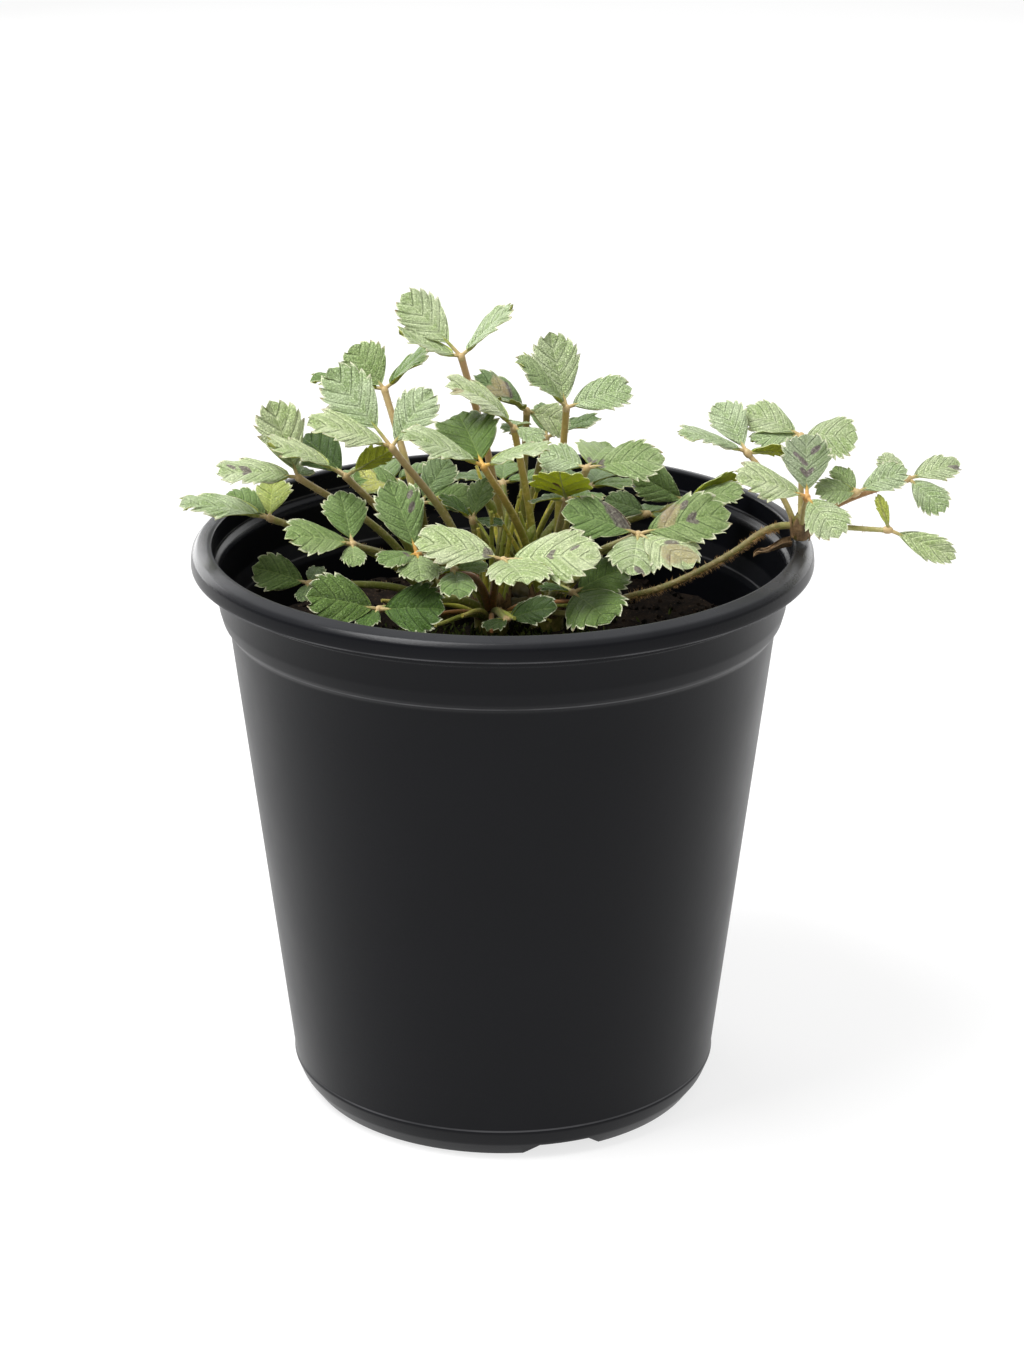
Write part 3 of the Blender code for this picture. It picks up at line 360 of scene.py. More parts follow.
# Tints of the stems, over the stems' own colour
PLAIN = (1, 1, 1)
BACK_STEM = (0.6, 0.62, 0.45)
STEM_TINTS = {
    "front_mid": (0.85, 0.36, 0.45), "front_small": (0.75, 0.33, 0.4), "back_rust": BACK_STEM,
    "behind_right": BACK_STEM, "mid_grey": BACK_STEM, "rear_mid": BACK_STEM, "d_far": (0.7, 0.5, 0.5),
    "high_right": (0.85, 0.85, 0.5), "centre_arch": (1.1, 1.1, 0.6), "top": (1.1, 0.95, 1.0),
    "centre": (1.15, 1.1, 0.6),
}
RIB_TINTS = {"mid_left": (1.2, 0.9, 0.5), "centre": (1.25, 1.0, 0.5), "d_mid": (1.2, 0.9, 0.6)}
DEAD_TINT = (0.4, 0.25, 0.18)
FRONT_TINTS = ((1.5, 1.4, 0.9), (0.9, 0.4, 0.45), (1.2, 1.3, 0.8))
YOUNG_TINTS = ((1.3, 1.35, 0.9), (2.0, 1.75, 1.1), (0.7, 0.65, 0.5))
BUD_TINT = (1, 1.1, 0.9)

# The studio, in metres and watts. A lamp: its place, its size and its power.
LAMPS = {"left": ((-0.9, 1.3, 0.4), 1.0, 13.0), "right": ((0.9, 1.3, 0.4), 1.0, 6.0),
         "top": ((-0.45, -0.25, 1.2), 0.6, 17.8)}
LAMPS_AIM = (0, 0, 0.14)
WORLD_LIGHT = 0.6
FLOOR_REACH = 12.0
FLOOR_GLOW = 0.74
CAMERA_AT = (0, -0.87308, 0.44139)
CAMERA_PITCH, CAMERA_YAW = -20.562, -0.1619
LENS, SENSOR = 91.41, 36.0  # millimetres


class Shape:
    """Gathers points and faces, with a value of each attribute at each point, into one mesh."""

    ATTRIBUTES = {"vein": 3, "tint": 4, "marks": 4, "under": 1, "rise": 1}
    KINDS = {1: ("FLOAT", "value"), 3: ("FLOAT_VECTOR", "vector"), 4: ("FLOAT_COLOR", "color")}

    def __init__(self):
        self.points, self.faces, self.slots = [], [], []
        self.values = {name: [] for name in self.ATTRIBUTES}
        self.count = 0

    def add(self, points, faces, slot=0, **values):
        points = np.asarray(points, float)
        self.faces += [[corner + self.count for corner in face] for face in faces]
        self.slots += [slot] * len(faces)
        self.points.append(points)
        for name, size in self.ATTRIBUTES.items():
            value = np.asarray(values.get(name, 0), float)
            if name == "tint" and value.ndim:
                value = np.append(value, 1)
            if size == 1 and value.ndim:
                value = value[:, None]
            self.values[name].append(np.broadcast_to(value, (len(points), size)))
        self.count += len(points)

    def piece(self, name, materials, node, crease=50):
        """Makes the object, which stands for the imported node, rides with the part and has that finish."""
        mesh = bpy.data.meshes.new(name)
        mesh.from_pydata((np.concatenate(self.points) * MM).tolist(), [], self.faces)
        for each in materials:
            mesh.materials.append(each)
        mesh.polygons.foreach_set("material_index", self.slots)
        mesh.polygons.foreach_set("use_smooth", [True] * len(self.faces))
        for key, size in self.ATTRIBUTES.items():
            values = np.concatenate(self.values[key])
            if values.any():
                kind, field = self.KINDS[size]
                layer = mesh.attributes.new(key, kind, "POINT")
                layer.data.foreach_set(field, values.astype(np.float32).ravel())
        mesh.update()
        mesh.set_sharp_from_angle(angle=math.radians(crease))
        made = add_object(name, mesh)
        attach(made, "root")
        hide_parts(node)
        return made


def add_object(name, data):
    made = bpy.data.objects.new(name, data)
    bpy.context.scene.collection.objects.link(made)
    return made


def smoothstep(low, high, value):
    share = np.clip((value - low) / (high - low), 0, 1)
    return share * share * (3 - 2 * share)


def facing(heading, pitch):
    h, p = math.radians(heading), math.radians(pitch)
    return Vector((math.cos(p) * math.cos(h), math.cos(p) * math.sin(h), math.sin(p)))


def around(radius, turn, height=0.0):
    """The point at that radius and turn round the Z axis, in radians."""
    return Vector((radius * math.cos(turn), radius * math.sin(turn), height))


def smooth_route(points, per_leg):
    """A Catmull-Rom curve through the points."""
    points = [Vector(p) for p in points]
    ends = [points[0] * 2 - points[1], *points, points[-1] * 2 - points[-2]]
    route = []
    for a, b, c, d in zip(ends, ends[1:], ends[2:], ends[3:]):
        for i in range(per_leg):
            t = i / per_leg
            route.append(0.5 * (b * 2 + (c - a) * t + (a * 2 - b * 5 + c * 4 - d) * t * t
                                + (b * 3 - a - c * 3 + d) * t**3))
    return route + [points[-1]]


def bezier(a, b, c, d, t):
    s = 1 - t
    return a * s**3 + b * 3 * s * s * t + c * 3 * s * t * t + d * t**3


def tube(shape, route, radii, sides, rises, slot=0, tint=PLAIN):
    """A closed round tube along the route. Its frame is carried from ring to ring. radii and rises are
    one number, or one for each ring."""
    rings = []
    side = (route[1] - route[0]).orthogonal().normalized()
    for i, (at, radius) in enumerate(zip(route, np.broadcast_to(radii, len(route)).tolist())):
        along = (route[min(i + 1, len(route) - 1)] - route[max(i - 1, 0)]).normalized()
        side = (side - along * side.dot(along)).normalized()
        other = along.cross(side)
        turns = (2 * math.pi * k / sides for k in range(sides))
        rings += [at + radius * (side * math.cos(a) + other * math.sin(a)) for a in turns]
    last = (len(route) - 1) * sides
    faces = [[low + k, low + (k + 1) % sides, low + sides + (k + 1) % sides, low + sides + k]
             for low in range(0, last, sides) for k in range(sides)]
    faces += [list(range(sides))[::-1], list(range(last, last + sides))]
    shape.add(rings, faces, slot, rise=np.repeat(np.broadcast_to(rises, len(route)), sides), tint=tint)


def turned(shape, profile, sides, **values):
    """Turns a profile of (radius, height) round Z. A radius of 0 makes a point on the axis."""
    rings, points, faces = [], [], []
    for radius, height in profile:
        turns = np.arange(sides) * 2 * math.pi / sides if radius > 0 else [0]
        rings.append(range(len(points), len(points) + len(turns)))
        points += [(radius * math.cos(a), radius * math.sin(a), height) for a in turns]
    for low, high in zip(rings, rings[1:]):
        for i in range(sides):
            j = (i + 1) % sides
            corners = [low[i % len(low)], low[j % len(low)], high[j % len(high)], high[i % len(high)]]
            faces.append(list(dict.fromkeys(corners)))
    shape.add(points, faces, **values)


def margin(m):
    """The smooth margin at share m of its length: (along, across)."""
    along = 1 - (1 - m) ** TIP_EASE
    widest = WEDGE / (WEDGE + ROUND)
    peak = widest**WEDGE * (1 - widest) ** ROUND
    return along, BLADE_WIDTH / 2 * along**WEDGE * (1 - along) ** ROUND / peak


def toothed(m, push):
    """The margin at each m, pushed outward and a little forward."""
    step = 0.01
    along, across = margin(m)
    ahead, behind = margin(np.minimum(m + step, 1)), margin(np.maximum(m - step, 0))
    tx, ty = ahead[0] - behind[0], ahead[1] - behind[1]
    size = np.hypot(tx, ty)
    tx, ty = tx / size, ty / size
    return along + push * (TOOTH_LEAN * tx - ty), np.maximum(across + push * (tx + TOOTH_LEAN * ty), 0)


def side_columns(teeth, jitter):
    """The columns of half a blade from its base to its tip: where each starts on the midrib, where it
    ends on the margin, and its place among the side veins, which lie at whole numbers."""
    span = (1 - TOOTH_START) / (teeth + TIP_SPAN)
    places = [TOOTH_START * (0.1 + 0.9 * i / BASE_COLUMNS) for i in range(BASE_COLUMNS)]
    pushes = [0.0] * BASE_COLUMNS
    taken, shallow = SHALLOW
    for k in range(teeth):
        size = TOOTH_OUT * (TOOTH_DEEPER + jitter[k])
        for share, push in TOOTH_STEPS:
            places.append(TOOTH_START + (k + share) * span)
            pushes.append(size * (push if k or share > taken else shallow * push))
    for share, push in TIP_STEPS:
        places.append(TOOTH_START + (teeth + share) * span)
        pushes.append(push * TOOTH_OUT)
    m = np.array(places)
    along, across = toothed(m, np.array(pushes))
    smooth_along, smooth_across = margin(m)
    start = np.clip(smooth_along - SIDE_SLANT * smooth_across, 0, 1)
    along, across = np.append(along, 1 + TIP_OUT * TOOTH_OUT), np.append(across, 0)
    # One more vein reaches the smooth part of the margin
    vein = np.where(m < TOOTH_START, m / TOOTH_START - 1, (m - TOOTH_START) / span) - VEIN_END
    return np.append(start, 0.99), along, across, np.append(vein, teeth + 0.2)


def leaflet_frame(leaflet):
    """Columns: along the leaflet at its base, to its left, and up out of its face."""
    forward = facing(leaflet.heading, leaflet.pitch - leaflet.bend / 2)
    left = Vector((0, 0, 1)).cross(forward).normalized()
    turn = Matrix((forward, left, forward.cross(left))).transposed()
    return Matrix.Rotation(math.radians(leaflet.roll), 3, facing(leaflet.heading, leaflet.pitch)) @ turn


def blade_points(leaflet, hub, along, across, depth):
    """Bends and folds flat blade points and puts them in place. depth is below the upper face."""
    length, bend = leaflet.length, math.radians(leaflet.bend)
    turn = bend * np.maximum(along - leaflet.stalk, 0) / (1 - leaflet.stalk)
    radius = length * (1 - leaflet.stalk) / bend
    straight = np.minimum(along, leaflet.stalk) * length
    lift = length * (BLADE_LIFT * np.abs(across) - BLADE_ARCH * across * across) - depth
    local = np.stack([straight + radius * np.sin(turn) - lift * np.sin(turn), length * across,
                      radius * (1 - np.cos(turn)) + lift * np.cos(turn)], -1)
    return local @ np.array(leaflet_frame(leaflet)).T + np.array(hub)


def relief(start, r, vein, across, wave):
    """How far the upper face stands out of the plain blade, as a share of the leaflet's length."""
    folds = PLEAT * np.abs(np.sin(math.pi * vein)) ** 0.8 * np.sin(math.pi * r**0.7 * 0.78)
    groove = GROOVE * np.exp(-((across / GROOVE_HALF) ** 2)) * (1 - GROOVE_FADES * start)
    ripple = sum(height * r**power * np.sin(phase * wave + turns * start)
                 for height, power, phase, turns in RIPPLES)
    return folds - groove + ripple


def mark_weights(marks, along, across):
    """How strongly each kind of mark shows at each point of a leaflet."""
    weights = np.zeros(along.shape + (4,))
    for kind, mark_along, mark_across, size in marks:
        ahead, aside = along - mark_along, np.abs(across) - abs(mark_across)
        near = np.hypot(MARK_STRETCH[0] * (ahead + aside), MARK_STRETCH[1] * (ahead - aside)) / size
        shown = 1 - smoothstep(*MARK_FADE, near)
        if abs(mark_across) > ONE_SIDED:
            shown = np.where(across * mark_across < 0, 0, shown)
        weights[..., kind] = np.maximum(weights[..., kind], shown)
    return weights


def strip(first, second, flip=False):
    """Four-sided faces between two rows of point numbers."""
    faces = np.stack([first[:-1], first[1:], second[1:], second[:-1]], -1)
    return (faces[:, ::-1] if flip else faces).tolist()


def add_blade(shape, leaflet, hub, teeth, marks):
    """One leaflet's blade, as a thin closed skin. Its two halves share the midrib and the tip."""
    jitter = rng.uniform(*TOOTH_VARIES, (2, teeth))
    wave = rng.uniform(0, ANY_TURN, 2)
    free = 1 - leaflet.stalk
    r = (np.arange(BLADE_ROWS + 1) / BLADE_ROWS)[:, None] ** ROW_EASE
    columns = len(side_columns(teeth, jitter[0])[0])
    grid = np.arange(len(r) * columns).reshape(len(r), columns)
    own = np.ones(grid.shape, bool)  # the second half's own points
    own[0] = own[:, -1] = False
    halves = (grid, np.where(own, grid.size - 1 + np.cumsum(own).reshape(own.shape), grid))
    layer = grid.size + own.sum()
    points, values, weights, faces = [], [], [], []
    for lower in (0, 1):
        for side, sign in enumerate((1, -1)):
            start, end_along, end_across, vein = side_columns(teeth, jitter[side])
            along = start + r * (end_along - start)
            across = leaflet.wide * end_across * (r + ROW_BULGE * r * (1 - r))
            depth = -relief(start, r, vein, across, wave[side]) * leaflet.length
            if lower:
                ridge = RIDGE * (1 - r) * np.exp(-(((vein - np.round(vein)) / RIDGE_HALF) ** 2))
                depth = depth + BLADE_THICK * (1 - BLADE_THINS * r) + ridge
            keep = own if side else np.ones_like(own)
            places = blade_points(leaflet, hub, leaflet.stalk + free * along, sign * free * across, depth)
            points.append(places[keep])
            vein, rows = np.broadcast_to(vein, along.shape), np.broadcast_to(r, along.shape)
            values.append(np.stack([vein, rows, across * leaflet.length], -1)[keep])
            weights.append(mark_weights(marks, along, sign * across)[keep])
            ids = halves[side] + lower * layer
            for first, second in zip(ids, ids[1:]):
                faces += strip(first, second, side != lower)
    for side, ids in enumerate(halves):
        faces += strip(ids[-1], ids[-1] + layer, side)
        faces += strip(ids[::-1, 0], ids[::-1, 0] + layer, side)
    shape.add(np.concatenate(points), faces, vein=np.concatenate(values), marks=np.concatenate(weights),
              under=np.repeat((0, 1), layer), tint=leaflet.tint)


def add_rib(shape, leaflet, hub, tint):
    """A leaflet's stalk, which runs on as the rib under its blade."""
    along = np.linspace(0, RIB_END, 16)
    radii = RIB_R - (RIB_R - RIB_TIP_R) * smoothstep(0, 0.9, along)
    groove = GROOVE * leaflet.length * (1 - GROOVE_FADES * np.maximum(along - leaflet.stalk, 0))
    below = smoothstep(leaflet.stalk - 0.04, leaflet.stalk + 0.12, along)
    depth = STALK_DEPTH * (1 - below) + (groove + radii) * below
    points = blade_points(leaflet, hub, along, 0 * along, depth)
    tube(shape, [Vector(p) for p in points], radii, 7, 0.75 * (1 - smoothstep(0, 0.35, along)), 1, tint)


def petiole_route(foot, hub, steps=24):
    """Rises steeply from the crown, then leans out to the leaf. It stops just short of the leaf's hub."""
    reach = hub - foot
    flat = Vector((reach.x, reach.y, 0))
    out, rise, lift = SHOULDER
    shoulder = foot + flat * out + Vector((0, 0, rise * reach.z + lift * flat.length))
    approach = hub - flat * APPROACH[0] - Vector((0, 0, APPROACH[1] * reach.z))
    end = hub - (hub - approach).normalized() * PETIOLE_SHORT
    return [bezier(foot, shoulder, approach, end, i / steps) for i in range(steps + 1)]


def petiole_foot(leaf):
    """A petiole leaves its crown on the side that faces its leaf."""
    crown = CROWNS.get(leaf.crown, DAUGHTER)
    up, out = PETIOLE_SEAT
    away = Vector((leaf.hub[0] - crown.x, leaf.hub[1] - crown.y, 0)).normalized()
    base = DAUGHTER_SEAT if crown is DAUGHTER else CROWN_SEAT
    return Vector((crown.x, crown.y, base + crown.height * up)) + away * crown.radius * out


def add_hairs(shape, route, radii, count, length, tint, droop=0.0):
    """Fine spikes that stand out of a stem. droop sends more of them to its lower side."""
    for _ in range(count):
        at = rng.uniform(0.02, 0.98) * (len(route) - 1)
        i = int(at)
        along = (route[i + 1] - route[i]).normalized()
        out = Matrix.Rotation(rng.uniform(0, ANY_TURN), 3, along) @ along.orthogonal().normalized()
        if droop and out.z > 0 and rng.uniform() < droop:
            out = out - 2 * Vector((0, 0, out.z))
            out = (out - along * out.dot(along)).normalized()
        lean = (out + along * rng.uniform(-0.2, 0.6)).normalized()
        root = route[i].lerp(route[i + 1], at - i) + out * float(radii[i]) * 0.9
        tip = root + lean * length * rng.uniform(0.6, 1.2)
        across = lean.orthogonal().normalized() * HAIR_HALF
        other = lean.cross(across) * 0.87
        base = [root + across, root - across * 0.5 + other, root - across * 0.5 - other]
        shape.add([*base, tip], [[0, 1, 3], [1, 2, 3], [2, 0, 3]], rise=1.0, tint=tint)


def body_r(height):
    return BODY_R0 + BODY_SLOPE * height


def rounded(profile, radius=0.5, steps=3):
    """The profile with each corner turned into a small arc."""
    out = [profile[0]]
    for before, at, after in zip(profile, profile[1:], profile[2:]):
        before, at, after = Vector(before), Vector(at), Vector(after)
        first = at + (before - at).normalized() * min(radius, 0.4 * (before - at).length)
        second = at + (after - at).normalized() * min(radius, 0.4 * (after - at).length)
        for i in range(steps + 1):
            t = i / steps
            out.append(tuple(first * (1 - t) ** 2 + at * 2 * t * (1 - t) + second * t * t))
    return out + [profile[-1]]


def split_long(profile, longest):
    """The profile with no step longer than that."""
    out = [profile[0]]
    for (r0, z0), (r1, z1) in zip(profile, profile[1:]):
        count = max(1, math.ceil(math.hypot(r1 - r0, z1 - z0) / longest))
        out += [(r0 + (r1 - r0) * i / count, z0 + (z1 - z0) * i / count) for i in range(1, count + 1)]
    return out


def pot_profile():
    """From the foot's inner edge up the outside, over the rim and down the inside to the floor."""
    rim_foot = RIM_TOP - RIM_DROP
    collar_r = MOUTH_R - 0.8
    inner = collar_r - WALL
    return [
        (PAD_R + 1.5, FLOOR_UNDER), (FOOT_R - 2.6, FLOOR_UNDER), (FOOT_R - 1.7, 0), (FOOT_R, 0),
        (FOOT_R + 3.1, 4.2), (body_r(FOOT_TOP) + 0.25, FOOT_TOP - 0.5), (body_r(FOOT_TOP), FOOT_TOP + 0.3),
        (body_r(COLLAR_FOOT), COLLAR_FOOT), (collar_r - 1.6, COLLAR_FOOT + 2.3),
        (collar_r - 0.7, COLLAR_FOOT + 5.6), (collar_r, COLLAR_TOP - 0.2), (MOUTH_R + 0.9, COLLAR_TOP + 0.2),
        (MOUTH_R + 0.9, rim_foot + 3.2), (RIM_R - 1.4, rim_foot + 3.2), (RIM_R - 1.3, rim_foot),
        (RIM_R - 0.1, rim_foot), (RIM_R, rim_foot + 1.0), (RIM_R - 0.3, RIM_TOP - 2.2),
        (RIM_R - 1.5, RIM_TOP - 0.8), (MOUTH_R + 0.8, RIM_TOP), (MOUTH_R, RIM_TOP - 0.4),
        (MOUTH_R - 0.3, COLLAR_TOP + 2.6), (MOUTH_R - 1.5, COLLAR_TOP + 1.4), (inner, COLLAR_TOP),
        (inner - 0.7, COLLAR_FOOT + 5.6), (body_r(COLLAR_FOOT) - WALL, COLLAR_FOOT - 0.6),
        (body_r(FILLED_FROM) - WALL, FILLED_FROM), (FOOT_R - 1.8, FLOOR_TOP),
    ]


def prism(corners, near, far, bearing):
    """A cutter whose corners (across, up) run out along the bearing from the near to the far radius."""
    bm = bmesh.new()
    ends = [[bm.verts.new((r, across, up)) for across, up in corners] for r in (near, far)]
    bm.faces.new(ends[0][::-1])
    bm.faces.new(ends[1])
    for i in range(len(corners)):
        j = (i + 1) % len(corners)
        bm.faces.new((ends[0][i], ends[0][j], ends[1][j], ends[1][i]))
    bmesh.ops.rotate(bm, cent=(0, 0, 0), matrix=Matrix.Rotation(bearing, 3, "Z"), verts=bm.verts)
    bmesh.ops.scale(bm, vec=(MM, MM, MM), verts=bm.verts)
    bmesh.ops.recalc_face_normals(bm, faces=bm.faces)
    mesh = bpy.data.meshes.new("cutter")
    bm.to_mesh(mesh)
    bm.free()
    return add_object("cutter", mesh)


def make_pot(plastic):
    """The pot at full roundness, with its notches and drain holes cut through the foot."""
    shape = Shape()
    wall = rounded([(PAD_R, 0), *pot_profile()])
    turned(shape, split_long([(0, 0), *wall, (0, FLOOR_TOP)], POT_STEP), POT_TURNS)
    pot = shape.piece("nursery_pot", [plastic], "pot")
    flare = (NOTCH_HALF_FOOT - NOTCH_HALF_TOP) / NOTCH_HEIGHT
    notch = [(-NOTCH_HALF_FOOT - flare, -1), (NOTCH_HALF_FOOT + flare, -1),
             (NOTCH_HALF_TOP, NOTCH_HEIGHT), (-NOTCH_HALF_TOP, NOTCH_HEIGHT)]
    top = FLOOR_TOP + 1.2
    drain = [(-DRAIN_HALF, -1), (DRAIN_HALF, -1), (DRAIN_HALF, top), (-DRAIN_HALF, top)]
    cutters = []
    for i in range(NOTCH_COUNT):
        bearing = math.radians(NOTCH_FIRST + i * 360 / NOTCH_COUNT)
        cutters += [prism(notch, FOOT_R - NOTCH_REACH, FOOT_R + NOTCH_REACH, bearing),
                    prism(drain, FOOT_R - DRAIN_REACH[0], FOOT_R - DRAIN_REACH[1], bearing)]
    for cutter in cutters:
        taken = pot.modifiers.new("cut", "BOOLEAN")
        taken.operation = "DIFFERENCE"
        taken.object = cutter
    graph = bpy.context.evaluated_depsgraph_get()
    pot.data = bpy.data.meshes.new_from_object(pot.evaluated_get(graph))
    pot.modifiers.clear()
    for cutter in cutters:
        bpy.data.objects.remove(cutter)
    pot.data.set_sharp_from_angle(angle=math.radians(32))


def soil_height(x, y):
    """The packed soil's lumps, with finer ones over them."""
    reach = math.hypot(x, y) / MOUTH_R
    large, small = LUMP_SIZES
    lumps = noise.noise(Vector((x, y, 7)) / large) + 0.5 * noise.noise(Vector((x, y, 3)) / small)
    fine = FINE_LUMP * noise.noise(Vector((x, y, 1)) / FINE_SIZE)
    return SOIL_TOP + SOIL_MOUND * (1 - reach * reach) + SOIL_LUMP * lumps + fine


def add_crumb(shape, centre, size, shade):
    """A lump with eight uneven corners."""
    corners = [Vector((x, y, 0.8 * z)).normalized() * size * rng.uniform(0.6, 1.1)
               for x, y, z in product((-1, 1), repeat=3)]
    round_z, round_x = (Matrix.Rotation(rng.uniform(0, ANY_TURN), 3, axis) for axis in "ZX")
    shape.add([centre + round_z @ round_x @ corner for corner in corners], CRUMB_FACES, tint=(shade,) * 3)


def add_moss_shoot(shape, foot, height):
    """A slim three-sided spike that leans a little."""
    lean = Vector((rng.normal(0, 0.35), rng.normal(0, 0.35), 1)).normalized() * height
    wide = rng.uniform(0.25, 0.5)
    turn = rng.uniform(0, ANY_TURN)
    ring = [foot + around(wide, turn + k * THIRD_TURN) for k in range(3)]
    faces = [[k, (k + 1) % 3, (k + 1) % 3 + 3, k + 3] for k in range(3)] + [[3, 4, 6], [4, 5, 6], [5, 3, 6]]
    shape.add([*ring, *(p + lean * 0.55 for p in ring), foot + lean], faces, 1)


def make_soil(peat, moss):
    """Lumpy soil with crumbs of bark on it, and moss round the crowns at the front."""
    shape = Shape()
    rim_r = body_r(SOIL_TOP) - WALL - GAP
    profile = [(0, FLOOR_TOP + GAP), (FOOT_R - 2.4, FLOOR_TOP + GAP),
               (body_r(FILLED_FROM) - WALL - GAP, FILLED_FROM + 0.3)]
    profile += [(rim_r * (1 - i / SOIL_RINGS), SOIL_TOP) for i in range(SOIL_RINGS)] + [(0, SOIL_TOP)]
    turned(shape, profile, SOIL_TURNS, tint=PLAIN)
    for point in shape.points[0]:
        if point[2] > SOIL_TOP - 1:
            point[2] = soil_height(point[0], point[1])
    for _ in range(CRUMBS):
        place = around(rim_r * rng.uniform(0, 0.97) ** 0.5, rng.uniform(0, ANY_TURN))
        shade = rng.choice(CRUMB_SHADES, p=CRUMB_SHARES)
        size = rng.uniform(0.4, 1.5)
        place.z = soil_height(place.x, place.y) + 0.3 * size
        add_crumb(shape, place, size, shade)
    for _ in range(MOSS_SHOOTS):
        x, y = rng.normal(*MOSS_X), rng.normal(*MOSS_Y)
        add_moss_shoot(shape, Vector((x, y, soil_height(x, y) - 0.2)), rng.uniform(0.8, 2.8))
    shape.piece("soil_and_moss", [peat, moss], "soil", crease=40)


def add_petiole(shape, name, leaf, thick=1.0):
    route = petiole_route(petiole_foot(leaf), Vector(leaf.hub))
    share = np.linspace(0, 1, len(route))
    radii = thick * (PETIOLE_FOOT_R + (PETIOLE_TIP_R - PETIOLE_FOOT_R) * share)
    swells = [more * np.exp(-((away / over) ** 2))
              for away, (more, over) in ((share, FOOT_SWELL), (1 - share, TIP_SWELL))]
    radii = radii * (1 + sum(swells))
    rises = np.clip((np.array([p.z for p in route]) - TAN_FROM) / TAN_OVER, 0, 1)
    tint = STEM_TINTS.get(name, PLAIN)
    tube(shape, route, radii, 10, rises, tint=tint)
    add_hairs(shape, route, radii, PETIOLE_HAIRS, HAIR, tint)


def add_scale(shape, foot, turn, reach, height):
    """A dry pointed scale that wraps one side of a crown."""
    points, faces = [], []
    for skin in (0, SCALE_THICK):
        for i in range(SCALE_ROWS):
            t = i / (SCALE_ROWS - 1)
            half = SCALE_HALF * (1 - t**1.6) + 0.02
            radius = reach * (1 + 0.16 * math.sin(2.6 * t)) - skin
            points += [foot + around(radius, turn + half * (2 * k / (SCALE_COLUMNS - 1) - 1), height * t)
                       for k in range(SCALE_COLUMNS)]
    step = SCALE_ROWS * SCALE_COLUMNS
    grid = np.arange(step).reshape(SCALE_ROWS, SCALE_COLUMNS)
    for first, second in zip(grid, grid[1:]):
        faces += strip(first, second)
    for first, second in zip(grid.T, grid.T[1:]):
        faces += strip(first + step, second + step)
    outline = np.concatenate([grid[0], grid[1:, -1], grid[-1, -2::-1], grid[-2::-1, 0]])
    faces += strip(outline, outline + step, True)
    shape.add(points, faces, 1)


def add_crown(shape, crown, seat, profile, tint, scales, step, height):
    """A crown turned from its profile of (radius, height over its seat), and the dry scales round it."""
    turned(shape, profile, CROWN_TURNS, tint=tint, rise=0.2)
    middle = Vector((crown.x, crown.y, seat))
    shape.points[-1] += middle
    for k in range(scales):
        add_scale(shape, middle + Vector((0, 0, step * k)), k * SPIRAL, crown.radius, height - 0.2 * k)


def add_runner_end(shape, route):
    tube(shape, route, RUNNER_R, 12, 0.4, tint=(0.8, 0.8, 0.8))


def make_crowns(stalk, sheath):
    """The crowns, the rhizomes between them, the mother plant's petioles and the runner's start."""
    shape = Shape()
    for crown in CROWNS.values():
        r, low, high = crown.radius, -ROOT_DEPTH, crown.height
        profile = [(0, low), (r * 0.8, low), (r, low + 3), (r * 1.04, high - 7), (r * 0.9, high - 4),
                   (r * 0.6, high - 1), (0, high + 0.6)]
        add_crown(shape, crown, CROWN_SEAT, split_long(profile, 1.5), (0.6, 0.5, 0.4), 14, 0.35, 9)
    for first, second in RHIZOMES:
        a, b = CROWNS[first], CROWNS[second]
        level = CROWN_SEAT + RHIZOME_R + RHIZOME_LIFT
        route = smooth_route([(a.x, a.y, level), ((a.x + b.x) / 2, (a.y + b.y) / 2, level + 1),
                              (b.x, b.y, level)], 8)
        radii = RHIZOME_R * (1 + 0.08 * np.sin(2.1 * np.arange(len(route))))
        tube(shape, route, radii, 14, 0.3, tint=(0.22, 0.17, 0.12))
    for name, leaf in LEAVES.items():
        add_petiole(shape, name, leaf)
    add_young_stems(shape)
    add_front_stalks(shape)
    add_runner_end(shape, smooth_route(RUNNER_ROUTE, RUNNER_STEPS)[:RUNNER_ENDS[0] + 1])
    shape.piece("crowns_and_petioles", [stalk, sheath], "crown_petioles")


def add_thin_stem(shape, foot, tip, radius, rises, tint):
    """A bare stem. Returns the way it heads at its tip."""
    route = petiole_route(foot, tip, 12)
    share = np.linspace(0, 1, len(route))
    tube(shape, route, radius - THIN_TAPER * share, 8, rises * share, tint=tint)
    return (route[-1] - route[-2]).normalized()


def thin_foot(crown, height, turn):
    """Where a bare stem leaves its crown."""
    return Vector((crown.x, crown.y, CROWN_SEAT + height)) + around(THIN_OUT, turn)


def add_young_stems(shape):
    """Thin stems of leaves that are still folded, and dead ones that have gone brown."""
    crowns = list(CROWNS.values())
    for k in range(YOUNG_STEMS):
        turn, dead = k * SPIRAL, k % 4 == 3
        foot = thin_foot(crowns[k % len(crowns)], 4, turn)
        reach = rng.uniform(*YOUNG_REACH)
        tip = foot + around(reach, turn, rng.uniform(*(DEAD_RISE if dead else YOUNG_RISE)))
        tint = DEAD_TINT if dead else YOUNG_TINTS[k % len(YOUNG_TINTS)]
        ahead = add_thin_stem(shape, foot, tip, YOUNG_R, 0.3, tint)
        if k % 5 == 0:
            bud = [tip + ahead * (step - BUD_SHORT) for step in range(7)]
            radii = BUD_R * np.sin(np.linspace(0.35, 3.0, len(bud))) ** 0.8
            tube(shape, bud, radii, 8, 0.05, tint=BUD_TINT)


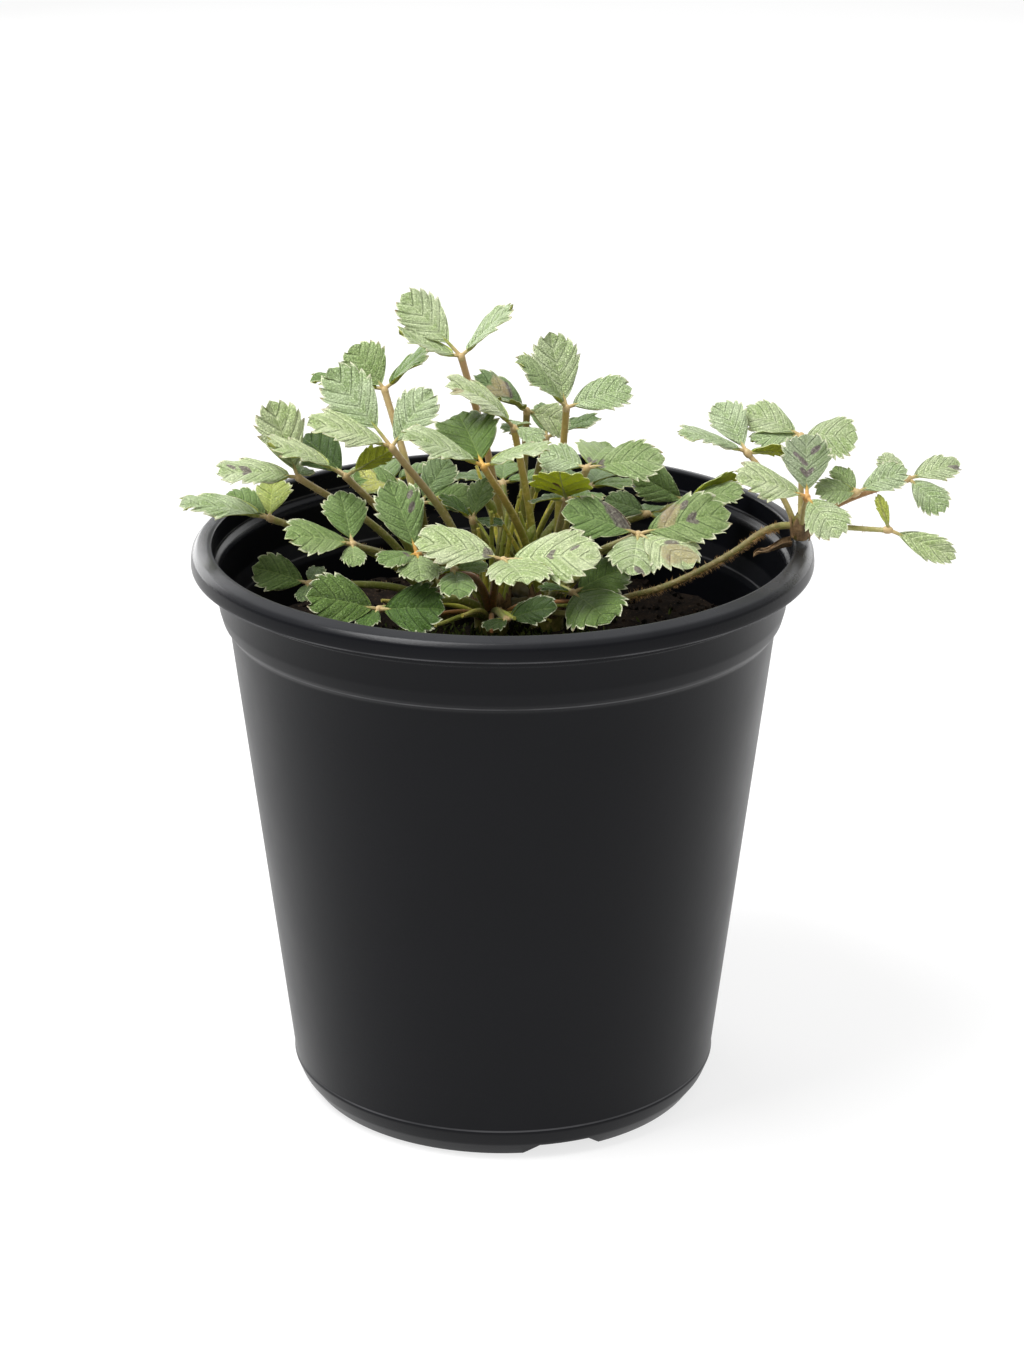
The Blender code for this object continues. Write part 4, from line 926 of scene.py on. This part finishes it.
def add_front_stalks(shape):
    """Old leaf stalks that lean over the soil towards the front, some green and some gone red-brown."""
    for k in range(FRONT_STALKS):
        bearing = -90 + FRONT_STEP * (k - (FRONT_STALKS - 1) / 2)
        turn = math.radians(bearing + rng.uniform(-FRONT_WANDER, FRONT_WANDER))
        foot = thin_foot(CROWNS["front"], 2, turn)
        tip = foot + around(rng.uniform(*FRONT_REACH), turn, rng.uniform(*FRONT_RISE))
        add_thin_stem(shape, foot, tip, FRONT_R, 0.4, FRONT_TINTS[k % len(FRONT_TINTS)])


def make_daughter(stalk, sheath):
    """The daughter plant's crown on the rim, with its petioles and the end of the runner."""
    shape = Shape()
    r, high = DAUGHTER.radius, DAUGHTER.height
    profile = [(0, 0), (r * 0.8, 0), (r, 2), (r * 0.9, high - 2), (r * 0.5, high), (0, high)]
    add_crown(shape, DAUGHTER, DAUGHTER_SEAT, split_long(rounded(profile, 1.0), 1.2), (0.5, 0.4, 0.3),
              9, 0.25, 6.5)
    for name, leaf in DAUGHTER_LEAVES.items():
        add_petiole(shape, name, leaf, DAUGHTER_THIN)
    add_runner_end(shape, smooth_route(RUNNER_ROUTE, RUNNER_STEPS)[-RUNNER_ENDS[1] - 2:])
    shape.piece("daughter_crown_and_petioles", [stalk, sheath], "daughter_petioles")


def make_runner(stalk):
    """The runner, with its spiky hairs, which stand mostly on its lower side."""
    shape = Shape()
    route = smooth_route(RUNNER_ROUTE, RUNNER_STEPS)[RUNNER_ENDS[0]:-RUNNER_ENDS[1]]
    radii = RUNNER_R * (1 + 0.04 * np.sin(1.7 * np.arange(len(route))))
    tube(shape, route, radii, 14, 0.4)
    add_hairs(shape, route, radii, RUNNER_HAIRS, RUNNER_HAIR, (1.3, 1.3, 1.2), droop=0.6)
    shape.piece("runner_stem", [stalk], "runner")


def make_bract(sheath):
    """The dry brown sheath, curled like a gutter, with a ragged rim."""
    shape = Shape()
    route = smooth_route(BRACT_ROUTE, 8)
    first, last = BRACT_ARC
    points, faces = [], []
    for i, at in enumerate(route):
        t = i / (len(route) - 1)
        half = BRACT_HALF * (1 - BRACT_NARROWS * t)
        for skin, k in product((0, BRACT_THICK), range(BRACT_SIDES)):
            share = k / (BRACT_SIDES - 1)
            edge = abs(2 * share - 1)
            a = math.radians(first + (last - first) * share) + 0.15 * math.sin(3 * t + k)
            radius = half - skin + 0.25 * math.sin(11 * t + 2 * k) * edge
            lift = BRACT_LIFT + 0.5 * edge * math.sin(9 * t)
            points.append(at + Vector((0, radius * math.cos(a), radius * math.sin(a) + lift)))
    ring = 2 * BRACT_SIDES
    loop = np.array([*range(BRACT_SIDES), *range(ring - 1, BRACT_SIDES - 1, -1), 0])
    for low in range(0, len(points) - ring, ring):
        faces += strip(loop + low, loop + low + ring)
    faces += [loop[-2::-1].tolist(), (loop[:-1] + len(points) - ring).tolist()]
    shape.add(points, faces)
    shape.piece("curled_sheath", [sheath], "dry_bract")


def make_leaf(name, leaf, leafy, stalk):
    """The knob at the petiole's end, the ribs and the toothed blades."""
    shape = Shape()
    hub = Vector(leaf.hub)
    route = petiole_route(petiole_foot(leaf), hub)
    up = (route[-1] - route[-2]).normalized()
    tint = RIB_TINTS.get(name, PLAIN)
    steps, radii = zip(*KNOB)
    tube(shape, [hub + up * step for step in steps], radii, 10, 0.9, 1, tint)
    for index, values in enumerate(leaf.leaflets):
        leaflet = Leaflet(*values)
        add_blade(shape, leaflet, leaf.hub, leaf.teeth, MARKS.get((name, index), ()))
        add_rib(shape, leaflet, leaf.hub, tint)
    shape.piece(name + "_leaflets", [leafy, stalk], "leaf_" + name)


class Tree:
    """A new material's nodes, with short calls for the ones used most."""

    def __init__(self, name, roughness, **shader_values):
        self.material = bpy.data.materials.new(name)
        self.material.use_nodes = True
        self.nodes = self.material.node_tree.nodes
        self.shader = self.nodes["Principled BSDF"]
        self.set(self.shader, Roughness=roughness, **shader_values)

    def set(self, node, **values):
        """A value's name is its socket's, or an underscore and the socket's number."""
        for name, value in values.items():
            socket = node.inputs[int(name[1:]) if name[1:].isdigit() else name.replace("_", " ")]
            if isinstance(value, bpy.types.NodeSocket):
                self.material.node_tree.links.new(value, socket)
            else:
                socket.default_value = value

    def node(self, kind, settings=(), **values):
        made = self.nodes.new("ShaderNode" + kind)
        for name, value in dict(settings).items():
            setattr(made, name, value)
        self.set(made, **values)
        return made

    def attribute(self, name, output="Fac"):
        return self.node("Attribute", {"attribute_name": name}).outputs[output]

    def calc(self, operation, a, b=0.0, c=0.0):
        return self.node("Math", {"operation": operation}, _0=a, _1=b, _2=c).outputs[0]

    def times(self, a, b):
        return self.calc("MULTIPLY", a, b)

    def ramp(self, value, low, high, start=0.0, end=1.0):
        """A smooth step from start to end as value goes from low to high."""
        return self.node("MapRange", {"interpolation_type": "SMOOTHSTEP"}, Value=value, From_Min=low,
                         From_Max=high, To_Min=start, To_Max=end).outputs["Result"]

    def mix(self, share, a, b, blend="MIX"):
        a, b = [(*v, 1) if isinstance(v, tuple) else v for v in (a, b)]
        return self.node("Mix", {"data_type": "RGBA", "blend_type": blend}, _0=share, _6=a, _7=b).outputs[2]

    def tinted(self, colour):
        return self.mix(1.0, self.attribute("tint", "Color"), colour, "MULTIPLY")

    def noise(self, scale, detail=3.0, roughness=0.5):
        return self.node("TexNoise", Vector=self.node("TexCoord").outputs["Object"], Scale=scale,
                         Detail=detail, Roughness=roughness).outputs[0]

    def bump(self, height, distance, strength=1.0):
        self.set(self.shader, Normal=self.node("Bump", Height=height, Distance=distance,
                                               Strength=strength).outputs[0])


def leaf_material():
    """The blades read where they are from their attributes: vein holds the place among the side veins,
    the share of the way out to the margin and the millimetres from the midrib."""
    t = Tree("leaf", 0.44, Sheen_Weight=0.06, Sheen_Roughness=0.5, Specular_IOR_Level=0.35)
    vein, r, off = t.node("SeparateXYZ", _0=t.attribute("vein", "Vector")).outputs
    fold = t.calc("ABSOLUTE", t.calc("SUBTRACT", vein, t.calc("ROUND", vein)))
    wander = t.calc("MULTIPLY_ADD", t.noise(600, 2), 0.08, -0.04)
    side_vein = t.times(t.ramp(t.calc("ADD", fold, wander), 0, 0.045, 1, 0), t.ramp(r, 0.6, 1, 1, 0.1))
    rib = t.ramp(off, 0.06, 0.24, 1, 0)
    net = t.node("TexVoronoi", {"feature": "DISTANCE_TO_EDGE"}, Vector=t.node("TexCoord").outputs["Object"],
                 Scale=1700.0).outputs[0]
    net_line = t.ramp(net, 0.02, 0.16, 1, 0)
    cloud = t.ramp(t.noise(130, 4, 0.6), 0.3, 0.7)
    fleck = t.ramp(t.noise(1500, 3, 0.6), 0.5, 0.64)
    marks = t.node("SeparateColor", _0=t.attribute("marks", "Color")).outputs
    ragged = t.calc("MULTIPLY_ADD", t.noise(230, 5, 0.7), 1.3, -0.65)

    # The upper face: its own tint, cloudy, darker in patches, and with painted shade near the midrib
    tint = t.attribute("tint", "Color")
    colour = t.mix(0.7, t.tinted((0.9, 0.94, 0.82)), t.mix(cloud, tint, (0.5, 0.56, 0.42), "MULTIPLY"))
    patchy = t.ramp(t.noise(85, 2), 0.38, 0.62, 0, 0.64)
    # painted shade: darker towards the midrib's groove, most between the side veins
    inner = t.times(t.ramp(r, 0, 0.6, 0.5, 0), t.ramp(fold, 0.1, 0.4, 0.5, 1))
    colour = t.mix(t.calc("MAXIMUM", patchy, inner), colour, t.tinted((0.48, 0.62, 0.28)))
    # A fine dark net, pale flecks, and side veins with painted shade in their grooves and a painted
    # highlight band on each side
    deep = t.mix(0.72, tint, NET_GREEN)
    pale = t.tinted((1.34, 1.32, 1.34))
    # painted highlight: a pale band on each side of a side vein
    vein_side_highlight = t.times(t.ramp(fold, 0.06, 0.12), t.ramp(fold, 0.14, 0.34, 1, 0))
    for where, share, shade in ((net_line, 0.32, deep), (fleck, 0.42, pale), (vein_side_highlight, 0.26, pale),
                                (side_vein, 0.4, deep), (rib, 0.5, t.mix(0.25, pale, RIB_GREEN))):
        colour = t.mix(t.times(where, share), colour, shade)
    for channel, (shade, share) in enumerate(MARK_COLOURS):
        weight = t.ramp(t.calc("ADD", marks[channel], ragged), 0.38, 0.78)
        colour = t.mix(t.times(weight, share), colour, t.mix(t.times(fleck, 0.5), shade, MARK_FLECK))
    # The margin is cream, and the teeth end in pale tips, some of them brown
    edge = t.ramp(r, 0.91, 0.985)
    tip = t.times(t.ramp(fold, 0.06, 0.2, 1, 0), t.ramp(r, 0.84, 0.97))
    tip_shade = t.mix(t.ramp(t.noise(90, 2), 0.52, 0.68), TIP_CREAM, TIP_BROWN)
    colour = t.mix(t.times(edge, 0.9), colour, MARGIN_CREAM)
    colour = t.mix(t.times(tip, 0.75), colour, tip_shade)

    # The lower face: yellow-green, made brighter as painted light shining through the blade, with the same
    # net, raised pale veins and brown spots
    lower = t.mix(0.3, t.mix(cloud, *UNDER_GREENS_WITH_PAINTED_GLOW), tint)
    lower = t.mix(t.times(net_line, 0.25), lower, UNDER_NET)
    lower = t.mix(t.calc("MAXIMUM", rib, t.times(side_vein, 0.6)), lower, UNDER_VEIN)
    lower = t.mix(t.ramp(t.calc("ADD", marks[PURPLE], ragged), 0.38, 0.7), lower, UNDER_SPOT)
    t.set(t.shader, Base_Color=t.mix(t.attribute("under"), colour, lower))

    height = t.calc("ADD", t.times(net_line, -0.5), t.times(t.noise(1500, 3), 0.9))
    t.bump(t.calc("SUBTRACT", height, t.times(side_vein, 0.9)), 0.0005)
    return t.material


def stem_material(name, low, high, streak):
    """Low on the stem it has one colour and high on it another, with streaks along it."""
    t = Tree(name, 0.5, Sheen_Weight=0.15, Sheen_Roughness=0.4, Specular_IOR_Level=0.4)
    cloud = t.calc("MULTIPLY_ADD", t.noise(300, 4, 0.6), 0.5, -0.25)
    colour = t.mix(t.ramp(t.calc("ADD", cloud, t.attribute("rise")), 0.15, 0.8), low, high)
    t.set(t.shader, Base_Color=t.tinted(t.mix(t.ramp(t.noise(900, 3), 0.5, 0.7, 0, 0.5), colour, streak)))
    t.bump(t.noise(2600, 3), 0.0001, 0.6)
    return t.material


def pot_material():
    """Black plastic with scuffs and a painted highlight along its edges, a smoother rim, and a little dust
    and a painted highlight where it faces up.
    """
    t = Tree("black_plastic", 0.4, IOR=1.24)
    cloud = t.noise(28, 4, 0.6)
    height = t.node("SeparateXYZ", _0=t.node("TexCoord").outputs["Object"]).outputs[2]
    colour = t.mix(cloud, *BLACKS)
    # Thin pale lines at these heights: scuffs, and a painted highlight along each edge
    for level in SCUFF_AND_HIGHLIGHT_LEVELS:
        line = t.ramp(t.calc("ABSOLUTE", t.calc("SUBTRACT", height, level * MM)), 0.1 * MM, 0.35 * MM, 1, 0)
        line = t.times(line, t.ramp(t.noise(60, 3), 0.3, 0.6, 0.4, 1))
        colour = t.mix(t.times(line, 0.8), colour, SCUFF_AND_HIGHLIGHT)
    # Faces that look up are paler: dust, and a painted highlight
    upward = t.node("SeparateXYZ", _0=t.node("NewGeometry").outputs["Normal"]).outputs[2]
    dust_and_highlight = t.times(t.ramp(upward, 0.45, 0.98), t.ramp(cloud, 0.2, 0.8, 0.6, 0.9))
    rim = t.ramp(height, (COLLAR_TOP - 1) * MM, (COLLAR_TOP + 1) * MM)
    rough = t.calc("MULTIPLY_ADD", rim, -0.08, t.ramp(cloud, 0.2, 0.8, 0.3, 0.38))
    t.set(t.shader, Base_Color=t.mix(dust_and_highlight, colour, DUST_AND_HIGHLIGHT), Roughness=rough)
    t.bump(t.calc("ADD", t.noise(1900, 2), t.times(t.noise(260, 3), 0.5)), 0.00004, 0.5)
    return t.material


def soil_material():
    t = Tree("peat", 0.95, Specular_IOR_Level=0.15)
    colour = t.mix(t.ramp(t.noise(220, 5, 0.7), 0.35, 0.7), *PEATS)
    colour = t.mix(t.ramp(t.noise(1400, 3), 0.62, 0.72, 0, 0.6), colour, BARK)
    t.set(t.shader, Base_Color=t.tinted(colour))
    t.bump(t.noise(900, 5, 0.7), 0.0008, 0.9)
    return t.material


def moss_material():
    t = Tree("moss", 0.8, Specular_IOR_Level=0.2)
    t.set(t.shader, Base_Color=t.mix(t.ramp(t.noise(500, 3), 0.35, 0.7), *MOSSES))
    t.bump(t.noise(2400, 2), 0.0002, 0.5)
    return t.material


def sheath_material():
    t = Tree("dry_sheath", 0.7, Specular_IOR_Level=0.3)
    t.set(t.shader, Base_Color=t.mix(t.ramp(t.noise(260, 4, 0.7), 0.3, 0.7), *SHEATHS))
    t.bump(t.noise(1200, 4), 0.0003, 0.8)
    return t.material


def make_stage():
    """A plain pale floor, soft light from above and both sides, and the camera."""
    square = [(x * FLOOR_REACH, y * FLOOR_REACH, 0) for x, y in ((-1, -1), (1, -1), (1, 1), (-1, 1))]
    floor = add_object("floor", bpy.data.meshes.new("floor"))
    floor.data.from_pydata(square, [], [(0, 1, 2, 3)])
    pale = Tree("floor", 0.9, Base_Color=(0.3, 0.3, 0.3, 1), Specular_IOR_Level=0.0,
                Emission_Color=(1, 1, 1, 1), Emission_Strength=FLOOR_GLOW)
    floor.data.materials.append(pale.material)

    scene = bpy.context.scene
    scene.world = bpy.data.worlds.new("studio")
    scene.world.use_nodes = True
    light = scene.world.node_tree.nodes["Background"].inputs
    light["Color"].default_value = (1, 1, 1, 1)
    light["Strength"].default_value = WORLD_LIGHT
    for name, (at, size, power) in LAMPS.items():
        lamp = add_object(name, bpy.data.lights.new(name, "AREA"))
        lamp.data.size, lamp.data.energy = size, power
        lamp.visible_camera = False
        lamp.location = at
        lamp.rotation_euler = (Vector(LAMPS_AIM) - Vector(at)).to_track_quat("-Z", "Y").to_euler()

    scene.camera = add_object("camera", bpy.data.cameras.new("camera"))
    scene.camera.data.lens, scene.camera.data.sensor_width = LENS, SENSOR
    scene.camera.location = CAMERA_AT
    scene.camera.rotation_euler = (math.radians(90 + CAMERA_PITCH), 0, math.radians(CAMERA_YAW))
    scene.view_settings.view_transform = "Standard"


def main():
    leafy = leaf_material()
    stalk = stem_material("petiole", *PETIOLE_COLOURS)
    sheath = sheath_material()
    make_pot(pot_material())
    make_soil(soil_material(), moss_material())
    make_crowns(stalk, sheath)
    make_daughter(stalk, sheath)
    make_runner(stem_material("runner", *RUNNER_COLOURS))
    make_bract(sheath)
    for name, leaf in {**LEAVES, **DAUGHTER_LEAVES}.items():
        make_leaf(name, leaf, leafy, stalk)
    make_stage()


main()
